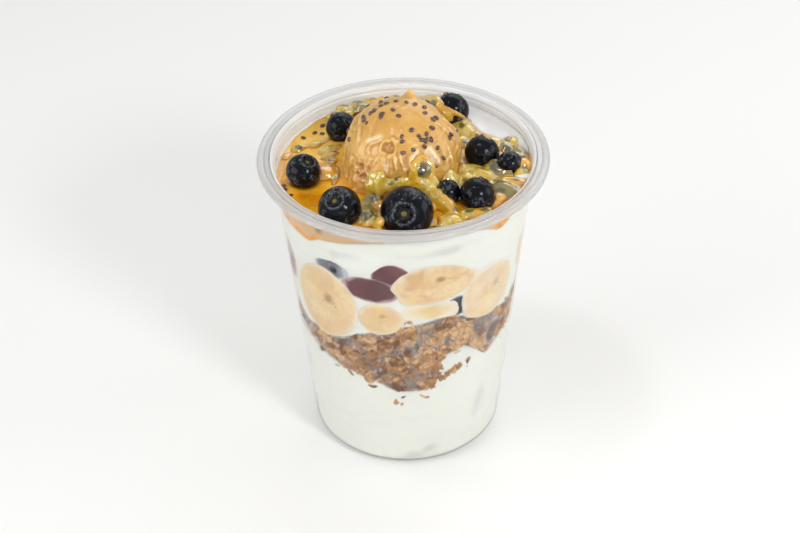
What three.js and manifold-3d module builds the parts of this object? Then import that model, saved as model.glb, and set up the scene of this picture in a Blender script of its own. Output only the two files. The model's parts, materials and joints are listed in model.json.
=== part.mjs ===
// Frozen yogurt parfait in a clear plastic cup.
// From the base up: frozen yogurt, a layer of granola, banana slices with grapes and blueberries against
// the wall, more yogurt, a pool of passion fruit pulp, and a scoop of peanut butter with chia seeds among
// blueberries. Millimetres, +Z up, origin at the middle of the cup's base. The front is -Y.
// Angles round the cup are in degrees from the front, positive towards +X.

import * as THREE from 'three';
import { mergeVertices } from 'three/addons/utils/BufferGeometryUtils.js';
import Module from 'manifold-3d';

const wasm = await Module();
wasm.setup();

// Cup
const CUP_HEIGHT = 106;
const RIM_RADIUS = 47.5;
const BEAD_RADIUS = 1.2;
const WALL = 0.8;
const BASE_RADIUS = 31.2;
const WALL_SLOPE = 0.1089;
const CORNER_RADIUS = 4.5;
const RECESS_RADIUS = 23.8;
const RECESS_DEPTH = 2.6;
const FOOT_INNER_RADIUS = 24.9;
const UNDER_RIM = 102.9;
const CUP_SEGMENTS = 36;

// Food
const GAP = 0.3;
const OVERCUT = 1.5;
// Shares of the way to the wall at which a layer's faces are drawn, and those of the granola's core
const SHARES = [0.55, 0.85, 1];
const CORE_SHARES = [0.55, 0.85, 0.92];
const SLICE_THICKNESS = 6.5;
const SLICE_EDGE = 0.6;
const SLICE_PRESSED = 3.2;
const SCOOP_RADIUS = 19.2;
const SCOOP_CENTRE = new THREE.Vector3(-0.4, 1, 104);
const SCOOP_BOTTOM = 94;
const PEAK_HEIGHT = 3.2;
const PULP_SAC = new THREE.Vector3(4, 2.8, 2.3);
const CHIA_SEED = new THREE.Vector3(1.05, 0.8, 0.65);

// Heights of the surfaces between the layers where they meet the wall, at even steps round the cup from
// the back by the left, and the height in the middle
const GRANOLA_BOTTOM = {
  edge: [40, 37, 43, 39, 45, 46, 42, 39, 34.4, 37, 41.5, 47, 46, 39, 42, 37],
  middle: 38,
};
const GRANOLA_TOP = {
  edge: [57, 60, 62, 59, 58, 54, 49.8, 56.5, 61, 63.3, 58, 59, 61, 58.5, 57, 59],
  middle: 57,
};
const YOGURT_TOP = {
  edge: [96, 95, 97, 97.5, 96.5, 93, 94.4, 97.2, 99.6, 99.6, 96.4, 98.6, 98.6, 96, 97, 98],
  middle: 97,
};
const PULP_TOP = {
  edge: [100, 99.5, 99, 98.5, 98.3, 98, 98.2, 99.8, 101, 100.9, 100.8, 102, 101.6, 100.8, 100.3, 100],
  middle: 100.5,
};

const radians = THREE.MathUtils.degToRad;

// A repeatable random number from 0 to 1.
function randomFrom(seed) {
  let state = seed;
  return () => {
    state = (state * 1664525 + 1013904223) % 4294967296;
    return state / 4294967296;
  };
}

function outerRadius(z) {
  return BASE_RADIUS + WALL_SLOPE * z;
}

function innerRadius(z) {
  return outerRadius(z) - WALL;
}

function degreesAt(x, y) {
  return THREE.MathUtils.radToDeg(Math.atan2(x, -y));
}

// A smooth closed curve through the heights of a surface at the wall.
function edgeHeight({ edge }, degrees) {
  const n = edge.length;
  const t = (((degrees + 180) / 360 + 1) % 1) * n;
  const i = Math.floor(t);
  const [a, b, c, d] = [-1, 0, 1, 2].map((k) => edge[(i + k + n) % n]);
  const f = t - i;
  return b + 0.5 * f * (c - a + f * (2 * a - 5 * b + 4 * c - d + f * (3 * (b - c) + d - a)));
}

// The height of a surface at a share of the way from the middle to the wall.
function height(surface, share, degrees) {
  const blend = share * share * (3 - 2 * share);
  return surface.middle + (edgeHeight(surface, degrees) - surface.middle) * blend;
}

// The point at a place round the cup, a depth inside the wall's inner face and a height.
function atWall(degrees, z, depth) {
  const r = innerRadius(z) - depth;
  return new THREE.Vector3(r * Math.sin(radians(degrees)), -r * Math.cos(radians(degrees)), z);
}

// A closed three.js geometry as a solid, with its faces turned outwards.
function solid(geometry) {
  const bare = geometry.clone();
  bare.deleteAttribute('normal');
  bare.deleteAttribute('uv');
  const merged = mergeVertices(bare, 1e-4);
  const points = merged.attributes.position;
  const corner = (i) => new THREE.Vector3().fromBufferAttribute(points, i);
  const triangles = [];
  let volume = 0;
  for (let i = 0; i < merged.index.count; i += 3) {
    const [p, q, r] = [0, 1, 2].map((k) => merged.index.getX(i + k));
    if (p === q || q === r || r === p) continue;
    triangles.push([p, q, r]);
    volume += corner(p).dot(corner(q).cross(corner(r)));
  }
  const outward = volume > 0 ? triangles : triangles.map(([p, q, r]) => [p, r, q]);
  return new wasm.Manifold(new wasm.Mesh({
    numProp: 3,
    vertProperties: Float32Array.from(points.array),
    triVerts: Uint32Array.from(outward.flat()),
  }));
}

function union(solids) {
  return solids.reduce((whole, next) => whole.add(next));
}

// The largest body of a solid, so that slivers left by a cut are dropped.
function largest(shape) {
  return shape.decompose().sort((p, q) => q.volume() - p.volume())[0];
}

// Moves every vertex of a geometry by a function of its position.
function reshape(geometry, move) {
  const points = geometry.attributes.position;
  const p = new THREE.Vector3();
  for (let i = 0; i < points.count; i += 1) {
    move(p.fromBufferAttribute(points, i));
    points.setXYZ(i, p.x, p.y, p.z);
  }
  return geometry;
}

function lathe(profile, segments) {
  const points = profile.map(([r, z]) => new THREE.Vector2(r, z));
  return new THREE.LatheGeometry(points, segments).rotateX(Math.PI / 2);
}

function arc(centreR, centreZ, radius, from, to, steps) {
  return Array.from({ length: steps + 1 }, (_, i) => {
    const angle = radians(from + ((to - from) * i) / steps);
    return [centreR + radius * Math.cos(angle), centreZ + radius * Math.sin(angle)];
  });
}

// A body turned about the cup's axis, from rows that give a radius and a height for each angle. The first
// and last rows lie on the axis.
function turned(rows) {
  const last = rows.length - 1;
  const spine = rows.map((_, i) => [i === 0 || i === last ? 0 : 1, i]);
  return solid(reshape(lathe(spine, CUP_SEGMENTS), (p) => {
    const [r, z] = rows[Math.round(p.z)](degreesAt(p.x, p.y));
    p.set(p.x * r, p.y * r, z);
  }));
}

// Rows of a layer's face along a surface, moved up or down by a lift.
function faceRows(surface, shares, lift) {
  return shares.map((share) => (degrees) => {
    const z = height(surface, share, degrees) + lift;
    return [share * (innerRadius(z) - GAP), z];
  });
}

// A layer between two surfaces, each moved by a lift.
function layer(bottom, bottomLift, top, topLift, shares = SHARES) {
  return turned([
    ...faceRows(bottom, [0, ...shares], bottomLift),
    ...faceRows(top, [...shares].reverse().concat(0), topLift),
  ]);
}

// Presses a geometry's vertices in from the wall, so that fruit lies flat against it.
function pressed(geometry, room) {
  return reshape(geometry, (p) => {
    const r = Math.hypot(p.x, p.y);
    const most = innerRadius(p.z) - room;
    if (r > most) p.set((p.x * most) / r, (p.y * most) / r, p.z);
  });
}

const cornerCentre = outerRadius(CORNER_RADIUS) - CORNER_RADIUS;

// The cup: a base raised inside a foot ring, a tapered wall, and a rim that ends in a round bead.
function cup() {
  const beadR = RIM_RADIUS - BEAD_RADIUS;
  const beadZ = CUP_HEIGHT - BEAD_RADIUS;
  const neck = outerRadius(UNDER_RIM);
  return solid(lathe([
    [0, RECESS_DEPTH],
    [RECESS_RADIUS, RECESS_DEPTH],
    [FOOT_INNER_RADIUS, 0],
    ...arc(cornerCentre, CORNER_RADIUS, CORNER_RADIUS, -90, 0, 3),
    [neck, UNDER_RIM],
    [neck + 0.8, beadZ - 0.6],
    ...arc(beadR, beadZ, BEAD_RADIUS, -90, 90, 4),
    [neck + 0.4, CUP_HEIGHT - 0.2],
    [neck - WALL + 0.2, CUP_HEIGHT - 1.2],
    ...arc(cornerCentre, CORNER_RADIUS, CORNER_RADIUS - WALL, 0, -90, 3),
    [FOOT_INNER_RADIUS + WALL, WALL],
    [RECESS_RADIUS, RECESS_DEPTH + WALL],
    [0, RECESS_DEPTH + WALL],
  ], CUP_SEGMENTS));
}

// The yogurt under the granola, which fills the cup's base.
function bottomYogurt() {
  const floor = RECESS_DEPTH + WALL + GAP;
  const base = [
    [0, floor],
    [RECESS_RADIUS, floor],
    [FOOT_INNER_RADIUS + WALL, WALL + GAP],
    ...arc(cornerCentre, CORNER_RADIUS, CORNER_RADIUS - WALL - GAP, -90, 0, 3),
  ];
  return turned([
    ...base.map((point) => () => point),
    ...faceRows(GRANOLA_BOTTOM, [...SHARES].reverse().concat(0), -GAP),
  ]);
}

// A round slice whose face lies against the wall and bends with it, its outline slightly three-lobed.
function slice({ at, z, size, tilt }, grow = 0) {
  const profile = [[0, 0], [0.55, 0], [0.98, 0], [1, 0.9], [0, 1]];
  const [cosTilt, sinTilt] = [Math.cos(radians(tilt)), Math.sin(radians(tilt))];
  const [wide, tall] = size;
  const front = grow ? -OVERCUT : GAP;
  const back = GAP + SLICE_THICKNESS + grow;
  return solid(reshape(lathe(profile, 14), (p) => {
    const lobe = 1 + 0.03 * Math.cos(3 * Math.atan2(p.y, p.x));
    const across = p.x * (lobe * wide * 0.5 + grow);
    const along = p.y * (lobe * tall * 0.5 + grow);
    const u = across * cosTilt - along * sinTilt;
    const v = across * sinTilt + along * cosTilt;
    const turn = at + THREE.MathUtils.radToDeg(u / innerRadius(z));
    p.copy(atWall(turn, z + v, front + (back - front) * p.z));
  }));
}

// A slice that lies flat, with its edge pressed against the wall.
function flatSlice({ at, z, radius, tilt }, grow = 0) {
  const half = SLICE_THICKNESS / 2 + grow;
  const r = radius + grow;
  const centre = atWall(at, z, radius - SLICE_PRESSED);
  const flat = r - SLICE_EDGE;
  const disc = lathe([[0, -half], [flat, -half], [r, 0], [flat, half], [0, half]], 16)
    .rotateY(radians(tilt))
    .rotateZ(radians(at))
    .translate(centre.x, centre.y, centre.z);
  return solid(pressed(disc, grow ? -OVERCUT : GAP));
}

// A whole fruit pressed against the wall, with its middle a depth inside it.
function wholeFruit({ at, z, size, tilt = 0, depth = 3 }, grow = 0) {
  const [wide, tall, deep] = size;
  const centre = atWall(at, z, depth);
  const fruit = new THREE.SphereGeometry(1, 9, 6)
    .rotateX(Math.PI / 2)
    .scale(wide / 2 + grow, deep / 2 + grow, tall / 2 + grow)
    .rotateY(radians(-tilt))
    .rotateZ(radians(at))
    .translate(centre.x, centre.y, centre.z);
  return solid(pressed(fruit, grow ? -OVERCUT : GAP));
}

// The fruit against the wall. Where two meet, the later one is cut round the earlier. Sizes are width and
// height along the wall, then depth.
const WALL_FRUIT = [
  { name: 'banana_slice_left', make: slice, at: -44.5, z: 67.4, size: [27, 30.5], tilt: -28 },
  { name: 'banana_slice_centre', make: slice, at: 14.5, z: 81.4, size: [28.5, 16.5], tilt: 1 },
  { name: 'banana_slice_right', make: slice, at: 45.6, z: 70.8, size: [24, 22.5], tilt: -26 },
  { name: 'banana_slice_flat', make: flatSlice, at: 12.4, z: 69.9, radius: 12.5, tilt: 2 },
  { name: 'grape_front_lower', make: wholeFruit, at: -16.8, z: 79.2, size: [21, 11.6, 12], tilt: -3 },
  { name: 'grape_front_upper', make: wholeFruit, at: -6.5, z: 84.8, size: [14.5, 14.5, 12] },
  { name: 'blueberry_wall_left', make: wholeFruit, at: -36.5, z: 84.2, size: [15, 9.5, 10], tilt: -3 },
  { name: 'grape_left', make: wholeFruit, at: -76.5, z: 73, size: [15, 17, 13], tilt: 20 },
  { name: 'banana_slice_middle', make: slice, at: -12.6, z: 66.8, size: [15.5, 14], tilt: 6 },
  { name: 'blueberry_wall_right', make: wholeFruit, at: 25.8, z: 70.2, size: [11, 11, 11], depth: 3.5 },
  { name: 'banana_slice_side_left', make: slice, at: -108, z: 72.5, size: [25, 22.5], tilt: 30 },
  { name: 'banana_slice_side_right', make: slice, at: 88, z: 74.5, size: [26, 21.5], tilt: -15 },
  { name: 'banana_slice_back_left', make: slice, at: -151, z: 76, size: [26, 19], tilt: -12 },
  { name: 'banana_slice_back_right', make: slice, at: 141, z: 70.5, size: [24, 24.5], tilt: 20 },
  { name: 'grape_back', make: wholeFruit, at: 174, z: 77.5, size: [18, 13, 12], tilt: 25 },
  { name: 'grape_right', make: wholeFruit, at: 115.5, z: 81, size: [13, 13.5, 12] },
  { name: 'blueberry_wall_back', make: wholeFruit, at: 114, z: 65.5, size: [11.5, 11, 11] },
  { name: 'blueberry_wall_far', make: wholeFruit, at: -174, z: 64, size: [11.5, 11, 10] },
];

// A blueberry: a slightly flattened ball with a raised crown round a small hollow.
function blueberry({ centre, radius, face }, grow = 0) {
  const flat = 0.92;
  const crown = [[0, 0.8], [0.24, 0.82], [0.34, 0.97]];
  const body = arc(0, 0, 1, 64, -90, 4);
  const profile = [...crown, ...body].map(([r, z]) => {
    return [Math.max(0, r) * (radius + grow), z * flat * (radius + grow)];
  });
  const turn = new THREE.Quaternion().setFromUnitVectors(
    new THREE.Vector3(0, 0, 1),
    new THREE.Vector3(...face).normalize(),
  );
  return solid(lathe(profile, 12).applyQuaternion(turn).translate(...centre));
}

// The blueberries on top: centre, radius, and the way the crown faces
const TOP_BERRIES = [
  { name: 'blueberry_left', centre: [-32.3, -4.6, 103], radius: 5.8, face: [0.35, -0.25, 0.9] },
  { name: 'blueberry_front_left', centre: [-20.3, -26.6, 103.6], radius: 7.1, face: [-0.25, -0.5, 0.8] },
  { name: 'blueberry_front', centre: [0.9, -31.6, 104.8], radius: 8.5, face: [-0.15, -0.85, 0.5] },
  { name: 'blueberry_front_right', centre: [23.3, -21, 103.8], radius: 5.9, face: [0.6, 0.3, 0.75] },
  { name: 'blueberry_small', centre: [14, -18.8, 103.4], radius: 4.2, face: [-0.5, -0.5, 0.7] },
  { name: 'blueberry_right', centre: [25.6, 2.6, 104.2], radius: 5.8, face: [0.75, -0.55, 0.35] },
  { name: 'blueberry_right_small', centre: [34.4, -3.6, 103.6], radius: 4.3, face: [0.3, -0.6, 0.7] },
  { name: 'blueberry_back_right', centre: [16.4, 28.9, 103.8], radius: 6.1, face: [-0.4, 0.5, 0.7] },
  { name: 'blueberry_back_left', centre: [-20.4, 20.2, 103.6], radius: 5.2, face: [-0.3, 0.1, 0.9] },
];

// Keeps a lump of granola in its layer: clear of the wall and of the yogurt above and below.
function keepInGranola(geometry) {
  return reshape(geometry, (p) => {
    const degrees = degreesAt(p.x, p.y);
    const r = Math.hypot(p.x, p.y);
    const share = Math.min(1, r / innerRadius(p.z));
    const low = height(GRANOLA_BOTTOM, share, degrees) + 2 * GAP;
    const high = height(GRANOLA_TOP, share, degrees) - 2 * GAP;
    const z = THREE.MathUtils.clamp(p.z, low, high);
    const most = Math.min(r, innerRadius(z) - GAP);
    p.set((p.x * most) / r, (p.y * most) / r, z);
  });
}

// Lumps of oats and oat flakes that stand out of the granola's core to the wall.
function granolaPieces() {
  const random = randomFrom(7);
  const pieces = [];
  const place = (piece, degrees, z, depth) => {
    const centre = atWall(degrees, z, depth);
    pieces.push(solid(keepInGranola(piece.translate(centre.x, centre.y, centre.z))));
  };
  const lumps = 18;
  for (let i = 0; i < lumps; i += 1) {
    const degrees = -180 + (360 * (i + 0.7 * random())) / lumps;
    const low = edgeHeight(GRANOLA_BOTTOM, degrees);
    const high = edgeHeight(GRANOLA_TOP, degrees);
    const z = low + (high - low) * (0.12 + 0.76 * ((i * 0.618) % 1));
    const large = i % 5 === 0;
    const radius = large ? 4.8 + 1.4 * random() : 2.8 + 1.3 * random();
    const bump = 6 * random();
    const lump = reshape(new THREE.IcosahedronGeometry(1, large ? 1 : 0), (p) => {
      const uneven = 1 + 0.18 * Math.sin(5 * p.x + bump) + 0.14 * Math.sin(6 * p.y + 3 * p.z);
      p.multiplyScalar(radius * uneven);
    });
    place(lump, degrees, z, radius * 0.7);
  }
  const flakes = 9;
  for (let i = 0; i < flakes; i += 1) {
    const degrees = -180 + (360 * (i + 0.6 * random())) / flakes;
    const low = edgeHeight(GRANOLA_BOTTOM, degrees);
    const high = edgeHeight(GRANOLA_TOP, degrees);
    const flake = new THREE.CylinderGeometry(1, 0.8, 1.5, 5)
      .scale(2.6, 1, 3.6)
      .rotateX(radians(60 * random()))
      .rotateZ(radians(degrees + 40 * (random() - 0.5)));
    place(flake, degrees, low + (high - low) * random(), 2);
  }
  return pieces;
}

// The scoop of peanut butter: a ball with a flat bottom, ridges left by the spoon, and a pulled peak.
function scoopBall(grow = 0) {
  const peakAt = new THREE.Vector3(0.14, 0.37, 0.92).normalize();
  const tip = new THREE.Quaternion().setFromUnitVectors(new THREE.Vector3(0, 1, 0), peakAt);
  const ball = new THREE.SphereGeometry(1, 22, 13).applyQuaternion(tip);
  return solid(reshape(ball, (p) => {
    const turn = Math.atan2(p.y, p.x);
    const ridges = 0.35 * Math.sin(5 * turn + 4 * p.z) * (1 - p.z * p.z) + 0.25 * Math.sin(9 * p.z + turn);
    const peak = PEAK_HEIGHT * Math.exp(-((p.distanceTo(peakAt) / 0.16) ** 2));
    p.multiplyScalar(SCOOP_RADIUS + ridges + peak + grow).add(SCOOP_CENTRE);
    p.z = Math.max(p.z, SCOOP_BOTTOM - grow);
  }));
}

// The outward direction on the scoop at an angle round it and a share of its height above its middle.
function scoopDirection(degrees, up) {
  const flat = Math.sqrt(1 - up * up);
  return new THREE.Vector3(flat * Math.sin(radians(degrees)), -flat * Math.cos(radians(degrees)), up);
}

// Lays a small piece flat, with its top facing a direction.
function laid(geometry, place, direction, spin) {
  const turn = new THREE.Quaternion().setFromUnitVectors(new THREE.Vector3(0, 0, 1), direction);
  return solid(geometry.rotateZ(spin).applyQuaternion(turn).translate(place.x, place.y, place.z));
}

// Chia seeds over the crown of the scoop and down its right side.
function chiaSeeds() {
  const random = randomFrom(21);
  return Array.from({ length: 22 }, (_, i) => {
    const onCrown = i % 2 === 0;
    const degrees = onCrown ? 260 * random() - 130 : 15 + 50 * random();
    const up = onCrown ? 0.78 + 0.16 * random() : 0.35 + 0.45 * random();
    const out = scoopDirection(degrees, up);
    const place = out.clone().multiplyScalar(SCOOP_RADIUS + 0.4).add(SCOOP_CENTRE);
    const seed = new THREE.OctahedronGeometry(1).scale(CHIA_SEED.x, CHIA_SEED.y, CHIA_SEED.z);
    return laid(seed, place, out, 6 * random());
  });
}

function pulpSac(place, direction, spin, scale, grow = 0) {
  const sac = new THREE.IcosahedronGeometry(1)
    .scale(PULP_SAC.x * scale + grow, PULP_SAC.y * scale + grow, PULP_SAC.z * scale + grow);
  return laid(sac, place, direction, spin);
}

// Sacs of pulp that cling to the scoop: angle round it, share of its height, and size
const CLINGING_SACS = [
  [-32, 0.28, 1], [0, 0.1, 1], [22, 0.31, 1.1], [54, 0.1, 1.1], [112, 0.12, 1], [150, 0.4, 1.1],
];

function clingingSacs(grow = 0) {
  return CLINGING_SACS.map(([degrees, up, scale]) => {
    const out = scoopDirection(degrees, up);
    const place = out.clone().multiplyScalar(SCOOP_RADIUS + 0.9).add(SCOOP_CENTRE);
    return pulpSac(place, out, radians(2 * degrees), scale, grow);
  });
}

// Free space over the pool at the back, which no sac stands in
const CLEAR_BACK = { x: [-12, 8], y: [22, 37] };
const CLEAR_RIGHT = { x: [23, 33], y: [11, 23] };

function inBox({ x, y }, point, margin) {
  const within = ([low, high], value) => value > low - margin && value < high + margin;
  return within(x, point.x) && within(y, point.y);
}

// Sacs of pulp spread over the pool between the scoop, the berries and the wall. A place that is taken
// is passed over and another one drawn.
function poolSacs(avoid) {
  const random = randomFrom(5);
  const places = [];
  const kept = [];
  const wanted = 18;
  const draws = 1200;
  const spacing = 5.4;
  const [nearest, farthest] = [21, 38];
  for (let tries = 0; tries < draws && kept.length < wanted; tries += 1) {
    const degrees = 360 * random() - 180;
    const reach = nearest + (farthest - nearest) * Math.sqrt(random());
    const z = height(PULP_TOP, reach / innerRadius(PULP_TOP.middle), degrees) + PULP_SAC.z / 2;
    const place = new THREE.Vector3(
      reach * Math.sin(radians(degrees)),
      -reach * Math.cos(radians(degrees)),
      z,
    );
    const scale = 0.9 + 0.3 * random();
    const spin = 6 * random();
    const lean = new THREE.Vector3(0.6 * random() - 0.3, 0.6 * random() - 0.3, 1).normalize();
    const wide = pulpSac(place, lean, spin, scale, 2 * GAP);
    const blocked = places.some((other) => other.distanceTo(place) < spacing)
      || [CLEAR_BACK, CLEAR_RIGHT].some((box) => inBox(box, place, PULP_SAC.x * scale))
      || reach + PULP_SAC.x * scale > innerRadius(z) - GAP
      || avoid.some((other) => wide.intersect(other).volume() > 0);
    if (blocked) continue;
    places.push(place);
    kept.push(pulpSac(place, lean, spin, scale));
  }
  return kept;
}

const wallFruit = WALL_FRUIT.map((fruit, i) => {
  const earlier = WALL_FRUIT.slice(0, i).map((other) => other.make(other, GAP));
  const whole = fruit.make(fruit);
  return { name: fruit.name, shape: earlier.length ? largest(whole.subtract(union(earlier))) : whole };
});
const fruitRoom = union(WALL_FRUIT.map((fruit) => fruit.make(fruit, GAP)));

const topBerries = TOP_BERRIES.map((berry) => ({ name: berry.name, shape: blueberry(berry) }));
const berryRooms = TOP_BERRIES.map((berry) => blueberry(berry, GAP));
const berryRoom = union(berryRooms);

const scoop = largest(union([scoopBall(), ...clingingSacs(), ...chiaSeeds()]));
const scoopRooms = [scoopBall(GAP), ...clingingSacs(GAP)];
const scoopRoom = union(scoopRooms);

const granolaCore = layer(GRANOLA_BOTTOM, 0, GRANOLA_TOP, 0, CORE_SHARES);
const granola = largest(union([granolaCore, ...granolaPieces()]));

const topYogurt = largest(layer(GRANOLA_TOP, GAP, YOGURT_TOP, -GAP)
  .subtract(fruitRoom)
  .subtract(scoopRoom)
  .subtract(berryRoom));

const pool = union([layer(YOGURT_TOP, 0, PULP_TOP, 0), ...poolSacs([...berryRooms, ...scoopRooms])]);
const pulp = largest(pool.subtract(scoopRoom).subtract(berryRoom));

const MATERIALS = {
  plastic: { color: 0xe9ebea, roughness: 0.12, metalness: 0, transparent: true, opacity: 0.35 },
  yogurt: { color: 0xf2f2ec, roughness: 0.45, metalness: 0 },
  granola: { color: 0xb88a5f, roughness: 0.8, metalness: 0 },
  banana: { color: 0xeadcb0, roughness: 0.5, metalness: 0 },
  grape: { color: 0x74434c, roughness: 0.35, metalness: 0 },
  blueberry: { color: 0x232838, roughness: 0.4, metalness: 0 },
  pulp: { color: 0xd99a1c, roughness: 0.2, metalness: 0 },
  butter: { color: 0xcf9a5c, roughness: 0.4, metalness: 0 },
};

function mesh(name, shape, material) {
  const { vertProperties, triVerts } = shape.getMesh();
  const geometry = new THREE.BufferGeometry();
  geometry.setAttribute('position', new THREE.BufferAttribute(vertProperties, 3));
  geometry.setIndex(new THREE.BufferAttribute(triVerts, 1));
  geometry.computeVertexNormals();
  const made = new THREE.Mesh(geometry, new THREE.MeshStandardMaterial(MATERIALS[material]));
  made.name = name;
  return made;
}

function fruitMesh({ name, shape }) {
  return mesh(name, shape, ['banana', 'grape', 'blueberry'].find((kind) => name.startsWith(kind)));
}

const parfait = new THREE.Group();
parfait.add(
  mesh('cup', cup(), 'plastic'),
  mesh('yogurt_bottom', bottomYogurt(), 'yogurt'),
  mesh('granola', granola, 'granola'),
  mesh('yogurt_top', topYogurt, 'yogurt'),
  mesh('passion_fruit_pulp', pulp, 'pulp'),
  mesh('peanut_butter_scoop', scoop, 'butter'),
  ...wallFruit.map(fruitMesh),
  ...topBerries.map(fruitMesh),
);

export default parfait;
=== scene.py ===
"""Frozen yogurt parfait in a clear cup: the looks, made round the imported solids.

Run as a script, it makes every piece in turn. The sizes and colours that a maker would change are in the
scene's cup, filling, topping and stage settings, and each piece has its own operator.
Lengths in the code are in millimetres unless they are settings, which are in metres.
"""

import json
from itertools import product

import bpy
import numpy as np
from bpy.props import FloatProperty, FloatVectorProperty, IntProperty, PointerProperty
from mathutils import Euler, Matrix, Vector
from mathutils.bvhtree import BVHTree

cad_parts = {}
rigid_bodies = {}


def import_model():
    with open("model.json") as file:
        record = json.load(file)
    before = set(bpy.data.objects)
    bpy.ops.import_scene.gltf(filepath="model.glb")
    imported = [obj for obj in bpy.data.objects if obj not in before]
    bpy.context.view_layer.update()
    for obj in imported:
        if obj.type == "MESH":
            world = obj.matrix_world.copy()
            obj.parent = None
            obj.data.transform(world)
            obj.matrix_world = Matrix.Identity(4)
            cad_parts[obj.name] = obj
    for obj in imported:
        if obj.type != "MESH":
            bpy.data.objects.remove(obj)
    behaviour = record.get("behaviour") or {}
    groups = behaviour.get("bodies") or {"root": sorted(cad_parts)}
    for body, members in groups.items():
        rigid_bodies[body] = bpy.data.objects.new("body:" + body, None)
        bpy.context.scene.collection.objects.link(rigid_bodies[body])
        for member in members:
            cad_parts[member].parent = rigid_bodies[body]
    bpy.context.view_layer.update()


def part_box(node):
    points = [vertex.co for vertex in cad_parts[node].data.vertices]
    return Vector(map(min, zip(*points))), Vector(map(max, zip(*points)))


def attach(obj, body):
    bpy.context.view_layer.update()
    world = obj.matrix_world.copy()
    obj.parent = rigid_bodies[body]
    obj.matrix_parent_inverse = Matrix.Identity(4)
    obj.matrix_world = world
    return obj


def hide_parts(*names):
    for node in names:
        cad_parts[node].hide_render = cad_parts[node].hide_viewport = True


bl_info = {
    "name": "Frozen yogurt parfait",
    "version": (1, 0, 0),
    "blender": (4, 5, 0),
    "location": "3D View > Sidebar > Parfait",
    "description": "Makes a frozen yogurt parfait in a clear cup, piece by piece",
    "category": "Add Mesh",
}

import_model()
CUP_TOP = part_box("cup")[1]

MM = 0.001
UP = Vector((0, 0, 1))

# The cup's wall: its outer radius at the base, how that grows with height, and its thickness
BASE_RADIUS = 31.2
WALL_SLOPE = 0.1089
WALL = 0.8
# Its foot: the height and radius of the raised base, the radius of the foot ring and the outer rounding
RECESS = 2.6
RECESS_RADIUS = 23.8
FOOT_RADIUS = 24.9
CORNER = 4.5
# Its rim: how far the flange starts under the top, the radii between which the flange begins, the radius and
# strength of the dark lines of painted shade round it, and the heights between which the plastic turns milky
FLANGE_DROP = 3.1
FLANGE = (42.8 * MM, 43.2 * MM)
RIM_SHADE_LINES = [(43.4 * MM, 0.9), (45.1 * MM, 0.5)]
MILKY = (98.5 * MM, 103 * MM)

# The camera, and the 800 by 533 image in which pixels are given
IMAGE_SIZE = (800, 533)
FOCAL_PIXELS = 2376
CAMERA_DISTANCE = 800
CAMERA_ELEVATION = 36.615
CAMERA_ROLL = -0.988
CAMERA_AIM = np.array([0.0, 0.0, 53.0])
AXIS_PIXEL = (405.4, 284.9)
SENSOR_WIDTH = 36
PIXELS_PER_MM = FOCAL_PIXELS / CAMERA_DISTANCE

# Shares of the way to the wall at which a surface between layers has its rings. Then the heights of the
# surfaces where they meet the wall, at even steps round the cup from the back by the left, and in the middle
LAYER_SHARES = (0.3, 0.6, 0.8, 0.92)
GRANOLA_BOTTOM = {
    "edge": [40, 37, 43, 39, 45, 46, 42, 39, 34.4, 37, 41.5, 47, 46, 39, 42, 37],
    "middle": 38,
}
GRANOLA_TOP = {
    "edge": [57, 60, 62, 59, 58, 54, 49.8, 56.5, 61, 63.3, 58, 59, 61, 58.5, 57, 59],
    "middle": 57,
}
YOGURT_TOP = {
    "edge": [96, 95, 97, 97.5, 96.5, 93, 94.4, 97.2, 99.6, 99.6, 96.4, 98.6, 98.6, 96, 97, 98],
    "middle": 97,
}
PULP_TOP = {
    "edge": [100, 99.5, 99, 98.5, 98.3, 98, 98.2, 99.8, 101, 100.9, 100.8, 102, 101.6, 100.8, 100.3, 100],
    "middle": 100.5,
}

# The fruit against the wall, each in front of those after it. Slices: place round the cup, height, width
# and height along the wall, tilt
SLICE_THICKNESS = 6.5
WALL_SLICES = {
    "banana_slice_left": (-44.5, 67.4, (27, 30.5), -28),
    "banana_slice_centre": (14.5, 81.4, (28.5, 16.5), 1),
    "banana_slice_right": (45.6, 70.8, (24, 22.5), -26),
    "banana_slice_middle": (-12.6, 66.8, (15.5, 14), 6),
    "banana_slice_side_left": (-108, 72.5, (25, 22.5), 30),
    "banana_slice_side_right": (88, 74.5, (26, 21.5), -15),
    "banana_slice_back_left": (-151, 76, (26, 19), -12),
    "banana_slice_back_right": (141, 70.5, (24, 24.5), 20),
}
# Whole fruit: place round the cup, height, width, height and depth, tilt, depth of its middle
WALL_WHOLE = {
    "grape_front_lower": (-16.8, 79.2, (21, 11.6, 12), -3, 3),
    "grape_front_upper": (-6.5, 84.8, (14.5, 14.5, 12), 0, 3),
    "blueberry_wall_left": (-36.5, 84.2, (15, 9.5, 10), -3, 3),
    "grape_left": (-76.5, 73, (15, 17, 13), 20, 3),
    "blueberry_wall_right": (25.8, 70.2, (11, 11, 11), 0, 3.5),
    "grape_back": (174, 77.5, (18, 13, 12), 25, 3),
    "grape_right": (115.5, 81, (13, 13.5, 12), 0, 3),
    "blueberry_wall_back": (114, 65.5, (11.5, 11, 11), 0, 3),
    "blueberry_wall_far": (-174, 64, (11.5, 11, 10), 0, 3),
    "dried_berry": (51, 51, (7.5, 12.5, 8), -24, 2.2),
}
# All the fruit at the wall in the order in which it lies
FRONT_TO_BACK = [
    "dried_berry", "banana_slice_left", "banana_slice_centre", "banana_slice_right", "banana_slice_flat",
    "grape_front_lower", "grape_front_upper", "blueberry_wall_left", "grape_left", "banana_slice_middle",
    "blueberry_wall_right", "banana_slice_side_left", "banana_slice_side_right", "banana_slice_back_left",
    "banana_slice_back_right", "grape_back", "grape_right", "blueberry_wall_back", "blueberry_wall_far",
]
# The slice that lies flat, and how far its edge is pressed against the wall
FLAT_SLICE = {"at": 12.4, "z": 69.9, "radius": 12.5, "tilt": 2, "pressed": 3.2}

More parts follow.
